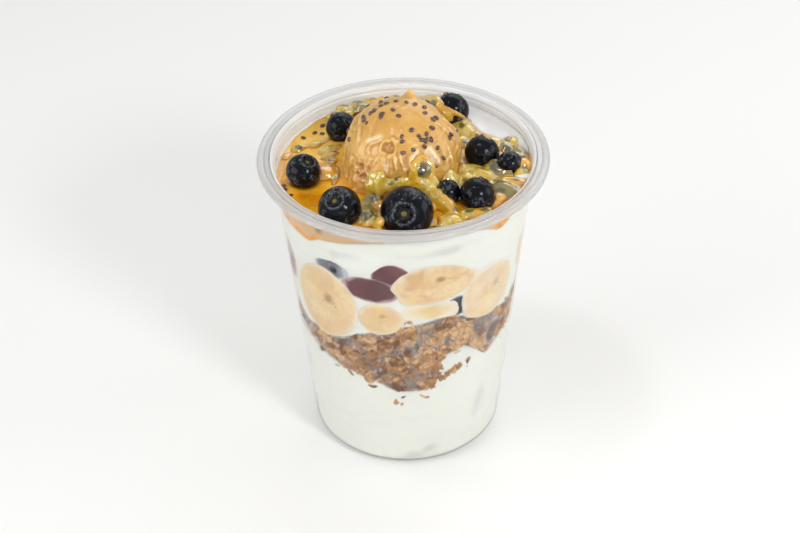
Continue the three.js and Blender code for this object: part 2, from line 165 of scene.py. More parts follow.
# The lower edge of the yogurt that lies over the tops of the fruit at the wall: place round the cup, height
YOGURT_LIP = [
    (-180, 88), (-150, 86), (-120, 83), (-90, 84), (-66, 80), (-50, 84.1), (-35, 87.3), (-25, 85.6),
    (-19, 84), (-13.4, 88), (-6, 92.2), (1, 89.4), (9, 90), (20, 89), (25, 87.4), (35, 82.2), (45, 82.7),
    (60, 78.9), (85, 84), (115, 88), (150, 83), (180, 88),
]

# The lower edge of the pulp at the wall: place round the cup, height
PULP_EDGE = [
    (-180, 96), (-120, 96.5), (-90, 95), (-75, 92.5), (-66, 91.8), (-56, 91.8), (-49, 91.2), (-45, 92.5),
    (-42, 94.4), (-35, 95.4), (-27, 96.8), (-17, 98.7), (-8, 100), (10, 100.5), (32, 100.3), (40, 98),
    (46, 95.2), (50, 95.6), (55, 97.2), (60, 99.2), (75, 99), (120, 97), (180, 96),
]

# Soft shade where the yogurt leaves the wall a little: place round the cup, height, half width, half height
SHADED = [
    (3, 4.2, 8, 2.6), (12, 6.5, 4.5, 2.6), (46, 20, 3.4, 7), (-118, 20, 4, 4), (160, 17, 5, 3.5),
    (95, 12, 6, 2.6), (-75, 30, 3, 3), (120, 91, 6, 2.4), (-160, 90, 6, 2.4), (16, 94.6, 12, 2),
    (-30, 91.5, 7, 2.2),
]

# Corners of the slices: direction from the middle, and how far each stands out as a share of the radius
CORNERS = {
    "banana_slice_centre": [(187, 0.07), (231, 0.2), (340, 0.06)],
    "banana_slice_left": [(112, 0.06), (300, 0.04)],
    "banana_slice_right": [(240, 0.08), (55, 0.05)],
}
# How far the fruit is hazed by cream over all of it
HAZE = {"grape_left": 0.4, "blueberry_wall_left": 0.42, "banana_slice_right": 0.25, "banana_slice_flat": 0.16,
        "blueberry_wall_right": 0.12}
LEAST_HAZE = 0.03
# Where the berry at the left shows dark through the haze, and a dark spot in the juice: place round the cup,
# height
DARK_SPOT = (-34.9, 83.8)
JUICE_SPOT = (-41, 98.4)
# How far a fruit lies behind another in front of it, and how thick the cream over its top is
TUCK_DEPTH = 1.8
CREAM_OVER_FRUIT = 0.34
# How far the foremost fruit reaches into the wall, and how much less each one behind it does
FRONT_REACH = 0.36
REACH_STEP = 0.01

# The blueberries on top: centre, radius, and the way the crown faces
TOP_BERRIES = {
    "blueberry_left": ((-32.3, -4.6, 103), 5.8, (0.35, -0.25, 0.9)),
    "blueberry_front_left": ((-20.3, -26.6, 103.6), 7.1, (-0.25, -0.5, 0.8)),
    "blueberry_front": ((0.9, -31.6, 104.8), 8.5, (-0.15, -0.85, 0.5)),
    "blueberry_front_right": ((23.3, -21, 103.8), 5.9, (0.6, 0.3, 0.75)),
    "blueberry_small": ((14, -18.8, 103.4), 4.2, (-0.5, -0.5, 0.7)),
    "blueberry_right": ((25.6, 2.6, 104.2), 5.8, (0.1, 0.85, 0.45)),
    "blueberry_right_small": ((34.4, -3.6, 103.6), 4.3, (-0.75, 0.1, 0.6)),
    "blueberry_back_right": ((16.4, 28.9, 103.8), 6.1, (0.2, 0.9, 0.3)),
    "blueberry_back_left": ((-20.4, 20.2, 103.6), 5.2, (-0.5, 0.75, 0.35)),
}

# A height over everything, to look down from
OVER_ALL = 130

# How fine each kind of round piece is: steps round it and rows up it
FINE = {
    "oat": (14, 7), "lump": (12, 7), "patch": (16, 10), "sac": (18, 11), "bead": (16, 10), "pit": (12, 7),
    "chia": (14, 9), "wall_fruit": (72, 48), "berry": (96, 72), "scoop": (380, 190),
}

# The scoop of peanut butter, a distance from its middle that is clear of it, and the pulled peak: its height
# and direction
SCOOP_RADIUS = 19.2
SCOOP_CENTRE = np.array([-0.4, 1.0, 104.0])
SCOOP_BOTTOM = 94
CLEAR_OF_SCOOP = 40
PEAK_HEIGHT = 2.9
PEAK_AT = np.array([0.14, 0.37, 0.92]) / np.linalg.norm([0.14, 0.37, 0.92])
# Half the length, width and thickness of small pieces: a lump, as shares of its size, an oat, a loose oat, a
# crumb and a chia seed
LUMP = np.array([1.15, 0.95, 0.85])
OAT = np.array([3.1, 2.2, 0.42])
LOOSE_OAT = np.array([2.6, 1.9, 0.4])
CRUMB = np.array([0.8, 0.65, 0.55])
CHIA_SEED = np.array([1.0, 0.74, 0.55])
# The wall's radius about the granola, and how far behind the wall a lump's face may lie to be seen
GRANOLA_RADIUS = 36
DEEPEST_FACE = 0.3
# How far from the wall the bits of granola begin to be pressed in, and how far they reach into it
PRESSED_FROM = 0.5
GRANOLA_REACH = 0.3

# Chia seeds on the scoop, and those that strayed from it, by the pixel that each is seen at
CHIA_PIXELS = [
    (363.5, 117), (370.6, 113.5), (381, 106), (386.5, 103.5), (396, 101.5), (406.5, 102.5), (415, 104.5),
    (393, 110), (398.8, 116), (381, 117), (425, 113), (433, 119.6), (436, 118), (411.5, 130), (401.8, 136.5),
    (402.2, 141.6), (403, 152.8), (413, 149.8), (419, 136.5), (426.5, 134), (424.8, 141), (424.6, 146.7),
    (432, 128), (431, 139.5), (437.5, 147.8), (443.7, 158), (435.6, 166.3), (449.8, 138), (349.3, 139.5),
    (421.5, 140), (428, 139.2),
]
STRAY_SEEDS = [
    (314.9, 132.9), (322.2, 133.9), (303.3, 138), (322.7, 125.7), (283.9, 185.8), (284.9, 189.6),
    (290.6, 195.7), (531.8, 168.2), (350, 104), (446, 94),
]

# Sacs of pulp: the pixels of their two ends, width, how far they stand up, and tint from green to orange
SACS = [
    ((293, 151), (306, 146), 3.6, 0.5, 0.15), ((309, 147), (321, 144), 3.0, 0.3, 0.2),
    ((322, 143), (347, 137), 3.0, 0.8, 0.0), ((321, 153), (346, 146), 3.4, 0.9, 0.1),
    ((321, 159), (337, 153), 2.8, 0.5, 0.3), ((321, 178), (330, 167), 6.8, 1.7, 0.8),
    ((328, 164), (336, 159), 3.2, 0.6, 0.2), ((334, 185), (338, 171), 2.4, 0.6, -0.2),
    ((283, 159), (292, 153), 3.2, 0.1, 0.5), ((360, 221), (371, 207), 6.6, 0.8, -0.4),
    ((374, 227), (384, 219), 4.4, 0.4, 0.5), ((369, 205), (376, 192), 5.6, 0.9, -0.3),
    ((372, 191), (383, 177), 7.0, 0.9, 0.3), ((373, 180), (377, 172), 4.0, 0.7, 0.0),
    ((384, 186), (397, 181), 5.0, 0.7, 0.1), ((396, 182), (411, 180), 4.4, 0.6, 0.35),
    ((364, 212), (370, 198), 4.6, 0.6, -0.2), ((429, 182), (440, 184), 4.0, 0.6, 0.1),
    ((442, 180), (459, 178), 7.4, 0.7, 0.0), ((466, 183), (471, 173), 4.8, 0.8, 0.0),
    ((441, 222), (453, 217), 4.4, 0.7, 0.8), ((430, 105), (438, 109), 3.4, 0.2, 0.4),
    ((488, 140), (501, 144), 4.4, 0.3, 0.1), ((456, 128), (466, 121), 5.6, 1.2, -0.1),
    ((463, 131), (473, 134), 5.4, 1.0, 0.15), ((472, 136), (482, 139), 4.8, 1.0, 0.4),
    ((484, 136), (490, 141), 2.6, 0.6, -0.3), ((460, 140), (464, 147), 4.6, 0.9, 0.0),
    ((465, 143), (469, 149), 3.8, 1.0, 0.2), ((503, 147), (514, 151), 5.2, 0.5, -0.4),
    ((514, 152), (526, 158), 5.2, 0.5, -0.4), ((521, 161), (531, 167), 4.6, 0.3, 0.9),
    ((486, 166), (507, 178), 6.8, 0.8, -0.4), ((478, 172), (496, 180), 3.4, 1.0, 0.1),
    ((494, 188), (516, 195), 7.4, 0.6, -0.4), ((512, 182), (498, 185), 3.6, 0.3, 0.7),
    ((446, 112), (452, 120), 3.4, 0.7, 0.3), ((421.5, 175), (425, 164), 5.2, 0.45, -0.6),
    ((493, 206), (500, 199), 4.2, 0.2, 0.9), ((413, 178), (420, 185), 4.6, 0.4, 0.6),
]
# Sacs behind the scoop, which rise to a level over the pool: the pixels of their two ends, width, and tint
BACK_SACS = [
    ((336, 110), (349, 104), 4.4, 0.4), ((342, 117), (352, 111), 4.6, 0.1),
    ((351, 103), (364, 99), 4.8, 0.2), ((356, 109), (371, 105), 4.6, -0.3),
    ((365, 101), (378, 97), 4.8, 0.7), ((378, 98), (391, 95.5), 4.6, 0.9),
    ((391, 96), (403, 96), 4.4, 0.1), ((406, 99), (418, 100), 4.4, 0.5),
    ((330, 119), (338, 112), 4.2, 0.5), ((418, 101), (428, 102), 4.2, 0.1),
]
BACK_LEVEL = 101.4

# Seeds inside the sacs: the pixels of their two ends, and width
SAC_SEEDS = [
    ((422, 173), (424.5, 165), 3.4), ((341, 170), (343, 166), 2.2), ((361, 213), (368, 217), 2.4),
    ((429, 102), (437, 104), 2.4), ((504, 147), (511, 151), 2.4), ((517, 154), (524, 157), 2.4),
    ((491, 165), (499, 170), 2.8), ((496, 190), (504, 191), 2.4), ((335, 154), (342, 151), 1.8),
    ((388, 184), (394, 182), 1.4), ((328, 161), (333, 158), 1.8), ((296, 148), (301, 146), 2.0),
    ((459, 140), (463, 143), 2.0), ((340, 145), (345, 142), 1.4), ((371, 199), (375, 195), 1.8),
    ((366, 220), (371, 214), 1.8), ((476, 134), (481, 137), 1.6), ((353, 101), (360, 99), 2.4),
    ((395, 178), (400, 177), 1.6), ((340, 113), (345, 111), 2.0),
]

# How far the pool reaches into the wall, and down into the yogurt
POOL_REACH = 0.2
POOL_OVERLAP = 0.3

# Where yogurt shows through the pool: the pixels of its two ends
YOGURT_PATCH = [(511, 180), (530, 176)]

# How far yogurt banks up from the wall over the pool: place round the cup, width
YOGURT_BANK = [
    (-180, 0), (90, 0), (99, 1.3), (107, 3.2), (112, 6), (118, 8.4), (124, 9.6), (131, 9.4), (139, 8.2),
    (150, 6.2), (160, 3), (168, 0), (180, 0),
]

# Strands of pulp that drape over the scoop, the berries and the pool: pixels along each, its half widths
# there, tint at its start and end, and how far its middle lies over what it drapes on, in half widths
STRANDS = {
    "tongue": ([(423, 183), (430, 190), (438, 198), (446, 206), (453, 214)],
               [1.8, 2.5, 3.0, 3.2, 2.2], -0.1, 0.8, 0.3),
    "loop": ([(423, 156), (416, 161), (413, 169), (414, 178), (421, 184), (428, 182), (432, 174), (431, 164),
              (423, 156)], [0.9, 1.3, 1.4, 1.6, 1.9, 1.6, 1.2, 1.1, 0.9], 0.5, 0.5, 0.15),
    "front": ([(381, 176), (377, 185), (373, 195), (369, 205)], [2.0, 2.3, 2.1, 1.7], 0.3, -0.1, 0.3),
    "over_front": ([(381, 188), (390, 184), (401, 181), (413, 183), (424, 189)],
                   [1.3, 1.6, 1.4, 1.4, 1.2], 0.0, 0.3, 0.3),
    "shoulder": ([(427, 99), (433, 100), (439, 104), (443, 110), (443, 115)],
                 [1.4, 2.0, 2.2, 1.9, 1.2], 0.3, 0.5, -0.5),
    "edge": ([(446, 108), (453, 112), (460, 115), (467, 120)], [0.7, 0.9, 0.9, 0.7], 0.7, 0.5, 0.2),
}

# Clumps of granola that the photo shows: place round the cup, height, radius, and tone from pale to dark
SHOWN_CLUMPS = [(26, 58, 5.6, 0.1), (33, 55, 4.6, 0.2), (41, 49.5, 4.4, 0.25), (20.5, 62.5, 3.4, 0.5),
                (47, 45.6, 2.6, 0.3), (-33, 47, 4.6, 0.45), (-27, 43.5, 4, 0.6), (-46, 46.2, 3.6, 0.5)]
# Bits of granola in the yogurt under them, given the same way
SHOWN_BITS = [(17.5, 41, 2, 0.6), (17, 44.5, 2.6, 0.3), (18, 48, 2.2, 0.6), (19.5, 51.5, 2.4, 0.4),
              (20, 38.8, 2.4, 0.7), (22.5, 40.4, 1.8, 0.6), (26.5, 41.6, 2.6, 0.25), (28.8, 42.6, 2.0, 0.4),
              (35.1, 43.2, 1.5, 0.95), (34, 40.8, 0.9, 0.2), (47.4, 41, 1.2, 0.3), (-53, 43.2, 1.1, 0.9)]

# Marks that the spoon left on the scoop: the pixels of their ends, the width to the left and to the right of
# their way, and height (a groove below 0)
SPOON_MARKS = [
    ((382.5, 139.5), (368, 147.5), 0.35, 1.0, 0.5), ((368, 147), (369.5, 155), 0.3, 0.9, 0.4),
    ((361, 127), (360, 141), 0.3, 1.1, 0.4), ((354, 157), (351, 167), 0.3, 1.0, 0.5),
    ((388.5, 154), (387, 176), 1.6, 0.2, 0.7), ((390, 157), (389, 175), 0.5, 0.5, -0.45),
    ((394, 155), (396.5, 172), 0.9, 0.2, 0.5), ((399, 155), (404, 172), 1.0, 0.22, 0.55),
    ((408, 157), (410, 171), 1.1, 0.25, 0.5), ((414, 160), (414, 170), 0.8, 0.3, 0.3),
    ((419, 149), (410, 162), 0.5, 0.8, 0.45), ((425, 146), (439, 165), 1.3, 0.4, 0.6),
    ((435, 124), (455, 141), 0.8, 0.3, 0.4), ((441, 118), (456, 133), 0.6, 0.3, 0.35),
    ((447, 145), (451, 163), 0.7, 0.25, 0.4), ((440, 150), (446, 168), 0.5, 0.9, -0.35),
    ((357, 112), (350, 140), 1.4, 0.4, 0.45), ((366, 108), (359, 126), 0.9, 0.35, 0.3),
    ((376, 118), (370, 138), 1.4, 0.5, -0.25), ((372, 158), (366, 172), 0.4, 1.0, 0.4),
    ((347, 142), (344, 168), 1.0, 0.35, 0.5), ((378, 157), (374, 166), 0.3, 0.7, 0.4),
]
# Painted highlights in pale strokes where the scoop is smooth and wet: the pixels of their ends and width
SHEEN_STROKES = [((426, 148), (438, 163), 1.5), ((418, 151), (410, 160), 0.9), ((366, 141), (382, 136), 0.9),
          ((385.8, 164), (386, 173), 0.5), ((449, 127), (453, 134), 0.7), ((443, 110), (445, 116), 0.6)]
# A small crater with a raised rim, a crumbled stretch and the scoop's bulging foot, by their middle's pixel
CRATER_PIXEL = (387.5, 147)
CRUMBLE_PIXEL = (362, 172)
FOOT_PIXEL = (354, 184)

# The lights: place, width and height in metres, and power. Then the point that they face, the light from all
# round, and half the floor's width
LIGHTS = {
    "key_light": ((0.34, -0.5, 0.5), (0.14, 0.14), 1.9),
    "top_light": ((-0.22, -0.05, 0.8), (0.08, 0.08), 0.5),
    "fill_light": ((-0.6, -0.3, 0.4), (0.5, 0.4), 1.9),
    "back_light": ((0.25, 0.6, 0.55), (0.7, 0.4), 1.5),
    "side_light": ((0.6, 0.02, 0.3), (0.4, 0.3), 0.8),
    "front_light": ((0.05, -0.85, 0.2), (0.7, 0.3), 0.9),
}
LIT_POINT = Vector((0, 0, 0.08))
ROOM_LIGHT = 0.55
FLOOR_HALF = 3.0


def inner_radius(z):
    """The radius of the wall's inner face at a height."""
    return BASE_RADIUS + WALL_SLOPE * z - WALL


def on_circle(radius, degrees):
    """The x and y of a place round the cup, at a radius from its axis."""
    turn = np.radians(degrees)
    return radius * np.sin(turn), -radius * np.cos(turn)


def place_round(points):
    """The place round the cup of each point, in degrees from the front to the right."""
    return np.degrees(np.arctan2(points[..., 0], -points[..., 1]))


def from_axis(points):
    """How far each point lies from the cup's axis."""
    return np.hypot(points[..., 0], points[..., 1])


def half_turn(degrees):
    """The same turn, from -180 up to 180 degrees."""
    return (degrees + 180) % 360 - 180


def at_wall(degrees, z, depth=0):
    """The point at a place round the cup, a depth inside the wall's inner face, and a height."""
    return np.stack(np.broadcast_arrays(*on_circle(inner_radius(z) - depth, degrees), z), axis=-1)


def curve(a, b, c, d, f):
    """A smooth curve through knots, at a share of the way from the second knot to the third."""
    return b + 0.5 * f * (c - a + f * (2 * a - 5 * b + 4 * c - d + f * (3 * (b - c) + d - a)))


def edge_height(surface, degrees):
    """A smooth closed curve through the heights of a surface at the wall."""
    edge = np.array(surface["edge"], float)
    count = len(edge)
    t = ((np.asarray(degrees, float) + 180) / 360 % 1) * count
    i = np.floor(t).astype(int)
    return curve(*(edge[(i + k) % count] for k in (-1, 0, 1, 2)), t - i)


def height(surface, share, degrees):
    """The height of a surface at a share of the way from the middle to the wall."""
    blend = share**2 * (3 - 2 * share)
    return surface["middle"] + (edge_height(surface, degrees) - surface["middle"]) * blend


def ease(value, low, high):
    """A smooth step from 0 at low to 1 at high."""
    t = np.clip((value - low) / (high - low), 0, 1)
    return t * t * (3 - 2 * t)


def hump(away, width):
    """A round hump, 1 at its middle and as wide as width to each side."""
    return np.exp(-((away / width) ** 2))


def uneven(points, size, seed=0):
    """Smooth random values from -1 to 1 at points, whose bumps are about a size apart."""
    cell = np.asarray(points, float) / size + seed * 7.31
    base = np.floor(cell).astype(np.int64)
    f = cell - base
    f = f**3 * (f * (f * 6 - 15) + 10)
    total = 0
    for corner in product((0, 1), repeat=3):
        x, y, z = ((base[..., k] + corner[k]) for k in range(3))
        mixed = (x * 73856093) ^ (y * 19349663) ^ (z * 83492791)
        mixed = (mixed ^ (mixed >> 13)) * 1274126177 % 4294967296
        weight = np.prod([f[..., k] if corner[k] else 1 - f[..., k] for k in range(3)], axis=0)
        total = total + weight * (mixed / 2147483648 - 1)
    return total


def closed_faces(rows, columns):
    """Faces of a closed body: a first pole, rows of columns that run round it, and a last pole."""
    last = 1 + rows * columns
    faces = []
    for column in range(columns):
        after = (column + 1) % columns
        faces.append((0, 1 + after, 1 + column))
        faces.append((last, last - columns + column, last - columns + after))
        for low in range(1, last - columns, columns):
            high = low + columns
            faces.append((low + column, low + after, high + after, high + column))
    return faces


def outward(points, faces):
    """The faces, turned to face out of the body that they close."""
    corners = np.array([face if len(face) == 4 else (*face, face[0]) for face in faces])
    a, b, c, d = (points[corners[:, k]] for k in range(4))
    volume = np.sum(a * np.cross(b, c)) + np.sum(a * np.cross(c, d))
    return faces if volume > 0 else [face[::-1] for face in faces]


def ball(kind):
    """Unit points over a sphere as fine as a kind of piece, from its lowest to its highest, and its faces."""
    columns, rows = FINE[kind]
    up = -np.cos(np.pi * np.arange(1, rows + 1) / (rows + 1))
    turn = 2 * np.pi * np.arange(columns) / columns
    flat = np.sqrt(1 - up**2)
    ring = np.stack(
        [np.outer(flat, np.cos(turn)), np.outer(flat, np.sin(turn)), np.outer(up, np.ones(columns))], axis=-1
    )
    return np.vstack([[[0, 0, -1]], ring.reshape(-1, 3), [[0, 0, 1]]]), closed_faces(rows, columns)


def turned(rings, degrees):
    """Points of a body turned about the cup's axis, from a radius and a height on each ring. The first and
    last rings are poles."""
    rows = [np.stack(np.broadcast_arrays(*on_circle(r, degrees), z), -1) for r, z in rings[1:-1]]
    first, last = ([[0, 0, float(np.mean(rings[k][1]))]] for k in (0, -1))
    return np.vstack([first, *rows, last])


def join_scene(name, data):
    """A new object in the scene."""
    thing = bpy.data.objects.new(name, data)
    bpy.context.scene.collection.objects.link(thing)
    return thing


def new_piece(name, points, faces, finish):
    """A smooth mesh object from points in millimetres and faces."""
    mesh = bpy.data.meshes.new(name)
    mesh.from_pydata((np.asarray(points) * MM).tolist(), [], outward(np.asarray(points), faces))
    mesh.materials.append(finish)
    mesh.shade_smooth()
    return join_scene(name, mesh)


def turned_piece(name, rings, degrees, finish):
    """A piece turned about the cup's axis from its rings, and its points."""
    points = turned(rings, degrees)
    return new_piece(name, points, closed_faces(len(rings) - 2, len(degrees)), finish), points


def spun(profile, columns):
    """The share of the way out, the level and the angle of each point of a round body, from a profile of
    shares and levels."""
    shares, levels = zip(*profile)
    turn = 2 * np.pi * np.arange(columns) / columns
    share = np.concatenate([[0], np.repeat(shares, columns), [0]])
    level = np.concatenate([levels[:1], np.repeat(levels, columns), levels[-1:]])
    return share, level, np.concatenate([[0], np.tile(turn, len(profile)), [0]])


def about_axis(degrees):
    """The rotation about the cup's axis to a place round it."""
    return Matrix.Rotation(np.radians(degrees), 3, "Z")


def rotated(points, rotation):
    """Points turned by a rotation matrix."""
    return points @ np.array(rotation.transposed())


def tag(piece, name, values):
    """Stores a number for each point of a piece, which its material reads."""
    attribute = piece.data.attributes.new(name, "FLOAT", "POINT")
    attribute.data.foreach_set("value", np.asarray(values, np.float32))


def map_face(piece, across, along):
    """Gives a piece a UV map from a place across and along its face, each from -1 to 1, for each point."""
    layer = piece.data.uv_layers.new(name="Face")
    points = np.zeros(len(piece.data.loops), np.int32)
    piece.data.loops.foreach_get("vertex_index", points)
    places = np.stack([np.asarray(across)[points], np.asarray(along)[points]], axis=-1) * 0.5 + 0.5
    layer.data.foreach_set("uv", places.astype(np.float32).ravel())


def hand_over(piece, slot, *nodes):
    """Fixes a finished piece to the cup, in place of the solids that it stands for."""
    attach(piece, "root")
    if nodes:
        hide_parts(*nodes)


def camera_axes():
    """The camera's place, and its right, up and backward directions."""
    tilt, roll = np.radians([CAMERA_ELEVATION, CAMERA_ROLL])
    back = np.array([0, -np.cos(tilt), np.sin(tilt)])
    level = np.array([1.0, 0, 0])
    above = np.cross(back, level)
    right = level * np.cos(roll) + above * np.sin(roll)
    up = above * np.cos(roll) - level * np.sin(roll)
    return CAMERA_AIM + back * CAMERA_DISTANCE, right, up, back


def sight(pixel):
    """The camera's place and the direction that it sees a pixel in."""
    place, right, up, back = camera_axes()
    across, down = (pixel[k] - AXIS_PIXEL[k] for k in (0, 1))
    direction = right * across / FOCAL_PIXELS - up * down / FOCAL_PIXELS - back
    return Vector(place), Vector(direction).normalized()


def surface_of(*names):
    """The surfaces of pieces that are already made, in millimetres, to lay toppings on."""
    points, faces = [], []
    for name in names:
        mesh = bpy.data.objects[name].data
        start = len(points)
        points += [vertex.co / MM for vertex in mesh.vertices]
        faces += [[start + i for i in polygon.vertices] for polygon in mesh.polygons]
    return BVHTree.FromPolygons(points, faces)


def seen_on(surface, pixel):
    """The place on a surface that the camera sees at a pixel, or else just under it, and the surface's
    direction there."""
    for lower in range(12):
        place, normal, _, _ = surface.ray_cast(*sight((pixel[0], pixel[1] + lower)))
        if place is not None:
            return place, normal
    raise ValueError(f"nothing is seen at pixel {pixel}")


class Wire:
    """The value of a socket in a node tree. Arithmetic on it adds Math or Vector Math nodes."""

    def __init__(self, graph, socket):
        self.graph = graph
        self.socket = socket

    def other(self, name):
        """Another output of the same node."""
        return Wire(self.graph, self.socket.node.outputs[name])

    def of(self, operation):
        """An operation on this value alone."""
        return self.math(operation, self)

    def math(self, operation, *terms):
        """An operation on values, by vector where one of them is a vector."""
        plain = all(not isinstance(term, tuple)
                    and getattr(getattr(term, "socket", None), "type", "VALUE") == "VALUE" for term in terms)
        kind = "ShaderNodeMath" if plain else "ShaderNodeVectorMath"
        return self.graph.add(kind, {"operation": operation}, dict(enumerate(terms)))

    def __add__(self, other):
        return self.math("ADD", self, other)

    __radd__ = __add__

    def __sub__(self, other):
        return self.math("SUBTRACT", self, other)

    def __rsub__(self, other):
        return self.math("SUBTRACT", other, self)

    def __mul__(self, other):
        return self.math("MULTIPLY", self, other)

    def ease(self, low, high):
        """A smooth step from 0 where the value is low to 1 where it is high."""
        return self.graph.add("ShaderNodeMapRange", {"interpolation_type": "SMOOTHSTEP"},
                              {"Value": self, 1: low, 2: high})


class Graph:
    """A node tree that is being built."""

    def __init__(self, tree):
        self.tree = tree

    def add(self, kind, settings=None, values=None, output=0):
        """Adds a node with its settings, fills its sockets with values or wires, and returns an output."""
        node = self.tree.nodes.new(kind)
        for name, value in (settings or {}).items():
            setattr(node, name, value)
        for name, value in (values or {}).items():
            self.fill(node.inputs[name], value)
        return Wire(self, node.outputs[output])

    def fill(self, socket, value):
        """Gives a socket a wire, a colour, one number for each axis or a plain value."""
        if isinstance(value, Wire):
            self.tree.links.new(value.socket, socket)
        elif socket.type == "RGBA":
            socket.default_value = (*value[:3], 1)
        elif socket.type == "VECTOR" and not hasattr(value, "__len__"):
            socket.default_value = (value, value, value)
        else:
            socket.default_value = value

    def mix(self, factor, low, high):
        """A colour that goes from low to high with a factor."""
        return self.add("ShaderNodeMix", {"data_type": "RGBA"}, {0: factor, 6: low, 7: high}, 2)

    def noise(self, where, scale, detail, distortion=0):
        """A soft cloudy pattern, from 0 to 1."""
        return self.add("ShaderNodeTexNoise", None,
                        {"Vector": where, "Scale": scale, "Detail": detail, "Distortion": distortion})

    def waves(self, where, scale, detail=2):
        """Smooth uneven shifts, up to a half each way along each axis."""
        return self.noise(where, scale, detail).other("Color") - (0.5, 0.5, 0.5)

    def split(self, vector):
        """The X of a vector. Its Y and Z are other outputs."""
        return self.add("ShaderNodeSeparateXYZ", None, {0: vector})

    def length(self, vector):
        """The length of a vector."""
        return self.add("ShaderNodeVectorMath", {"operation": "LENGTH"}, {0: vector}, output="Value")

    def cells(self, where, scale, feature, output):
        """A pattern of cells."""
        values = {"Vector": where, "Scale": scale}
        return self.add("ShaderNodeTexVoronoi", {"feature": feature}, values, output)


class Finish(Graph):
    """A material built on its Principled shader. Lengths in its patterns are in metres. Soft is how far light
    goes into it: a weight, a share for each colour and a depth."""

    def __init__(self, name, even, soft=None):
        self.material = bpy.data.materials.new(name)
        self.material.use_nodes = True
        super().__init__(self.material.node_tree)
        self.shader = self.tree.nodes["Principled BSDF"]
        self.set(even)
        if soft:
            self.set(dict(zip(("Subsurface Weight", "Subsurface Radius", "Subsurface Scale"), soft)))
        self.place = self.add("ShaderNodeTexCoord", output="Object")

    def set(self, values):
        """Fills sockets of the shader."""
        for name, value in values.items():
            self.fill(self.shader.inputs[name], value)

    def paint(self, base, layers):
        """Colours the surface: a base colour, and over it named layers, each with its factor and colour."""
        for name, (factor, over) in layers.items():
            base = self.mix(factor, base, over)
            base.socket.node.label = name
        self.set({"Base Color": base})

    def attribute(self, name):
        """A number that a piece stores for each of its points."""
        return self.add("ShaderNodeAttribute", {"attribute_name": name}, output="Fac")

    def pattern(self, scale, detail=2, distortion=0, stretch=None):
        """A soft pattern over the piece, from 0 to 1. Stretch gives it a scale along each axis."""
        where = self.place
        if stretch:
            where = self.add("ShaderNodeMapping", None, {"Vector": where, "Scale": stretch})
        return self.noise(where, scale, detail, distortion)

    def axis_distance(self):
        """How far each place lies from the cup's axis."""
        return self.length(self.place * (1, 1, 0))

    def bump(self, relief, depth, strength=1):
        """Raises the surface by a relief from 0 to 1, as deep as depth."""
        self.set({"Normal": self.add("ShaderNodeBump", None,
                                     {"Height": relief, "Distance": depth, "Strength": strength})})


class Shape(Graph):
    """A Geometry Nodes tree that takes a mesh and named inputs, and gives one smooth mesh."""

    def __init__(self, name, inputs):
        super().__init__(bpy.data.node_groups.new(name, "GeometryNodeTree"))
        interface = self.tree.interface
        interface.new_socket("Geometry", in_out="INPUT", socket_type="NodeSocketGeometry")
        for label, kind in inputs.items():
            interface.new_socket(label, in_out="INPUT", socket_type=kind)
        interface.new_socket("Finish", in_out="INPUT", socket_type="NodeSocketMaterial")
        interface.new_socket("Geometry", in_out="OUTPUT", socket_type="NodeSocketGeometry")
        self.source = self.add("NodeGroupInput")

    def named(self, name, data_type):
        """A value that each point stores under a name."""
        return self.add("GeometryNodeInputNamedAttribute", {"data_type": data_type}, {"Name": name})

    def close(self, geometry):
        """Ends the tree with one real, smooth mesh in the finish that it is given."""
        real = self.add("GeometryNodeRealizeInstances", None, {"Geometry": geometry})
        smooth = self.add("GeometryNodeSetShadeSmooth", None, {"Geometry": real})
        coloured = self.add("GeometryNodeSetMaterial", None,
                            {"Geometry": smooth, "Material": self.source.other("Finish")})
        self.tree.links.new(coloured.socket, self.tree.nodes.new("NodeGroupOutput").inputs[0])

    def move(self, geometry, **values):
        """Moves the points of a geometry to a Position or by an Offset."""
        return self.add("GeometryNodeSetPosition", None, {"Geometry": geometry, **values})

    def shift(self, geometry, waves):
        """Moves the points of a geometry along uneven waves, as far as the Unevenness that is asked for."""
        return self.move(geometry, Offset=waves * self.source.other("Unevenness"))

    def where(self):
        """The place of each point."""
        return self.add("GeometryNodeInputPosition")

    def grow(self, piece, values):
        """Runs the tree on a piece with values for its inputs, and leaves a plain mesh."""
        modifier = piece.modifiers.new(self.tree.name, "NODES")
        modifier.node_group = self.tree
        for item in self.tree.interface.items_tree:
            if item.in_out == "INPUT" and item.name in values:
                modifier[item.identifier] = values[item.name]
        depsgraph = bpy.context.evaluated_depsgraph_get()
        mesh = bpy.data.meshes.new_from_object(piece.evaluated_get(depsgraph), depsgraph=depsgraph)
        piece.modifiers.clear()
        piece.data = mesh
        mesh.name = piece.name
        return piece


def revolve_shape():
    """A tree that turns a profile, whose points give a radius and a height, about the cup's axis."""
    shape = Shape("Revolve", {"Segments": "NodeSocketInt", "Rows": "NodeSocketInt"})
    columns = shape.source.other("Segments") + 1
    rows = shape.source.other("Rows")
    grid = shape.add("GeometryNodeMeshGrid", None,
                     {"Size X": 1, "Size Y": 1, "Vertices X": columns, "Vertices Y": rows})
    split = shape.split(shape.where())
    turn = (split + 0.5) * (2 * np.pi)
    row = shape.add("ShaderNodeMath", {"operation": "ROUND"}, {0: (split.other("Y") + 0.5) * (rows - 1)})
    point = shape.add("GeometryNodeSampleIndex", {"data_type": "FLOAT_VECTOR"},
                      {"Geometry": shape.source, "Value": shape.where(), "Index": row})
    profile = shape.split(point)
    across, along = profile * turn.of("SINE"), profile * turn.of("COSINE") * -1
    placed = shape.add("ShaderNodeCombineXYZ", None, {0: across, 1: along, 2: profile.other("Z")})
    moved = shape.move(grid, Position=placed)
    shape.close(shape.add("GeometryNodeMergeByDistance", None, {"Geometry": moved, "Distance": 1e-6}))
    return shape


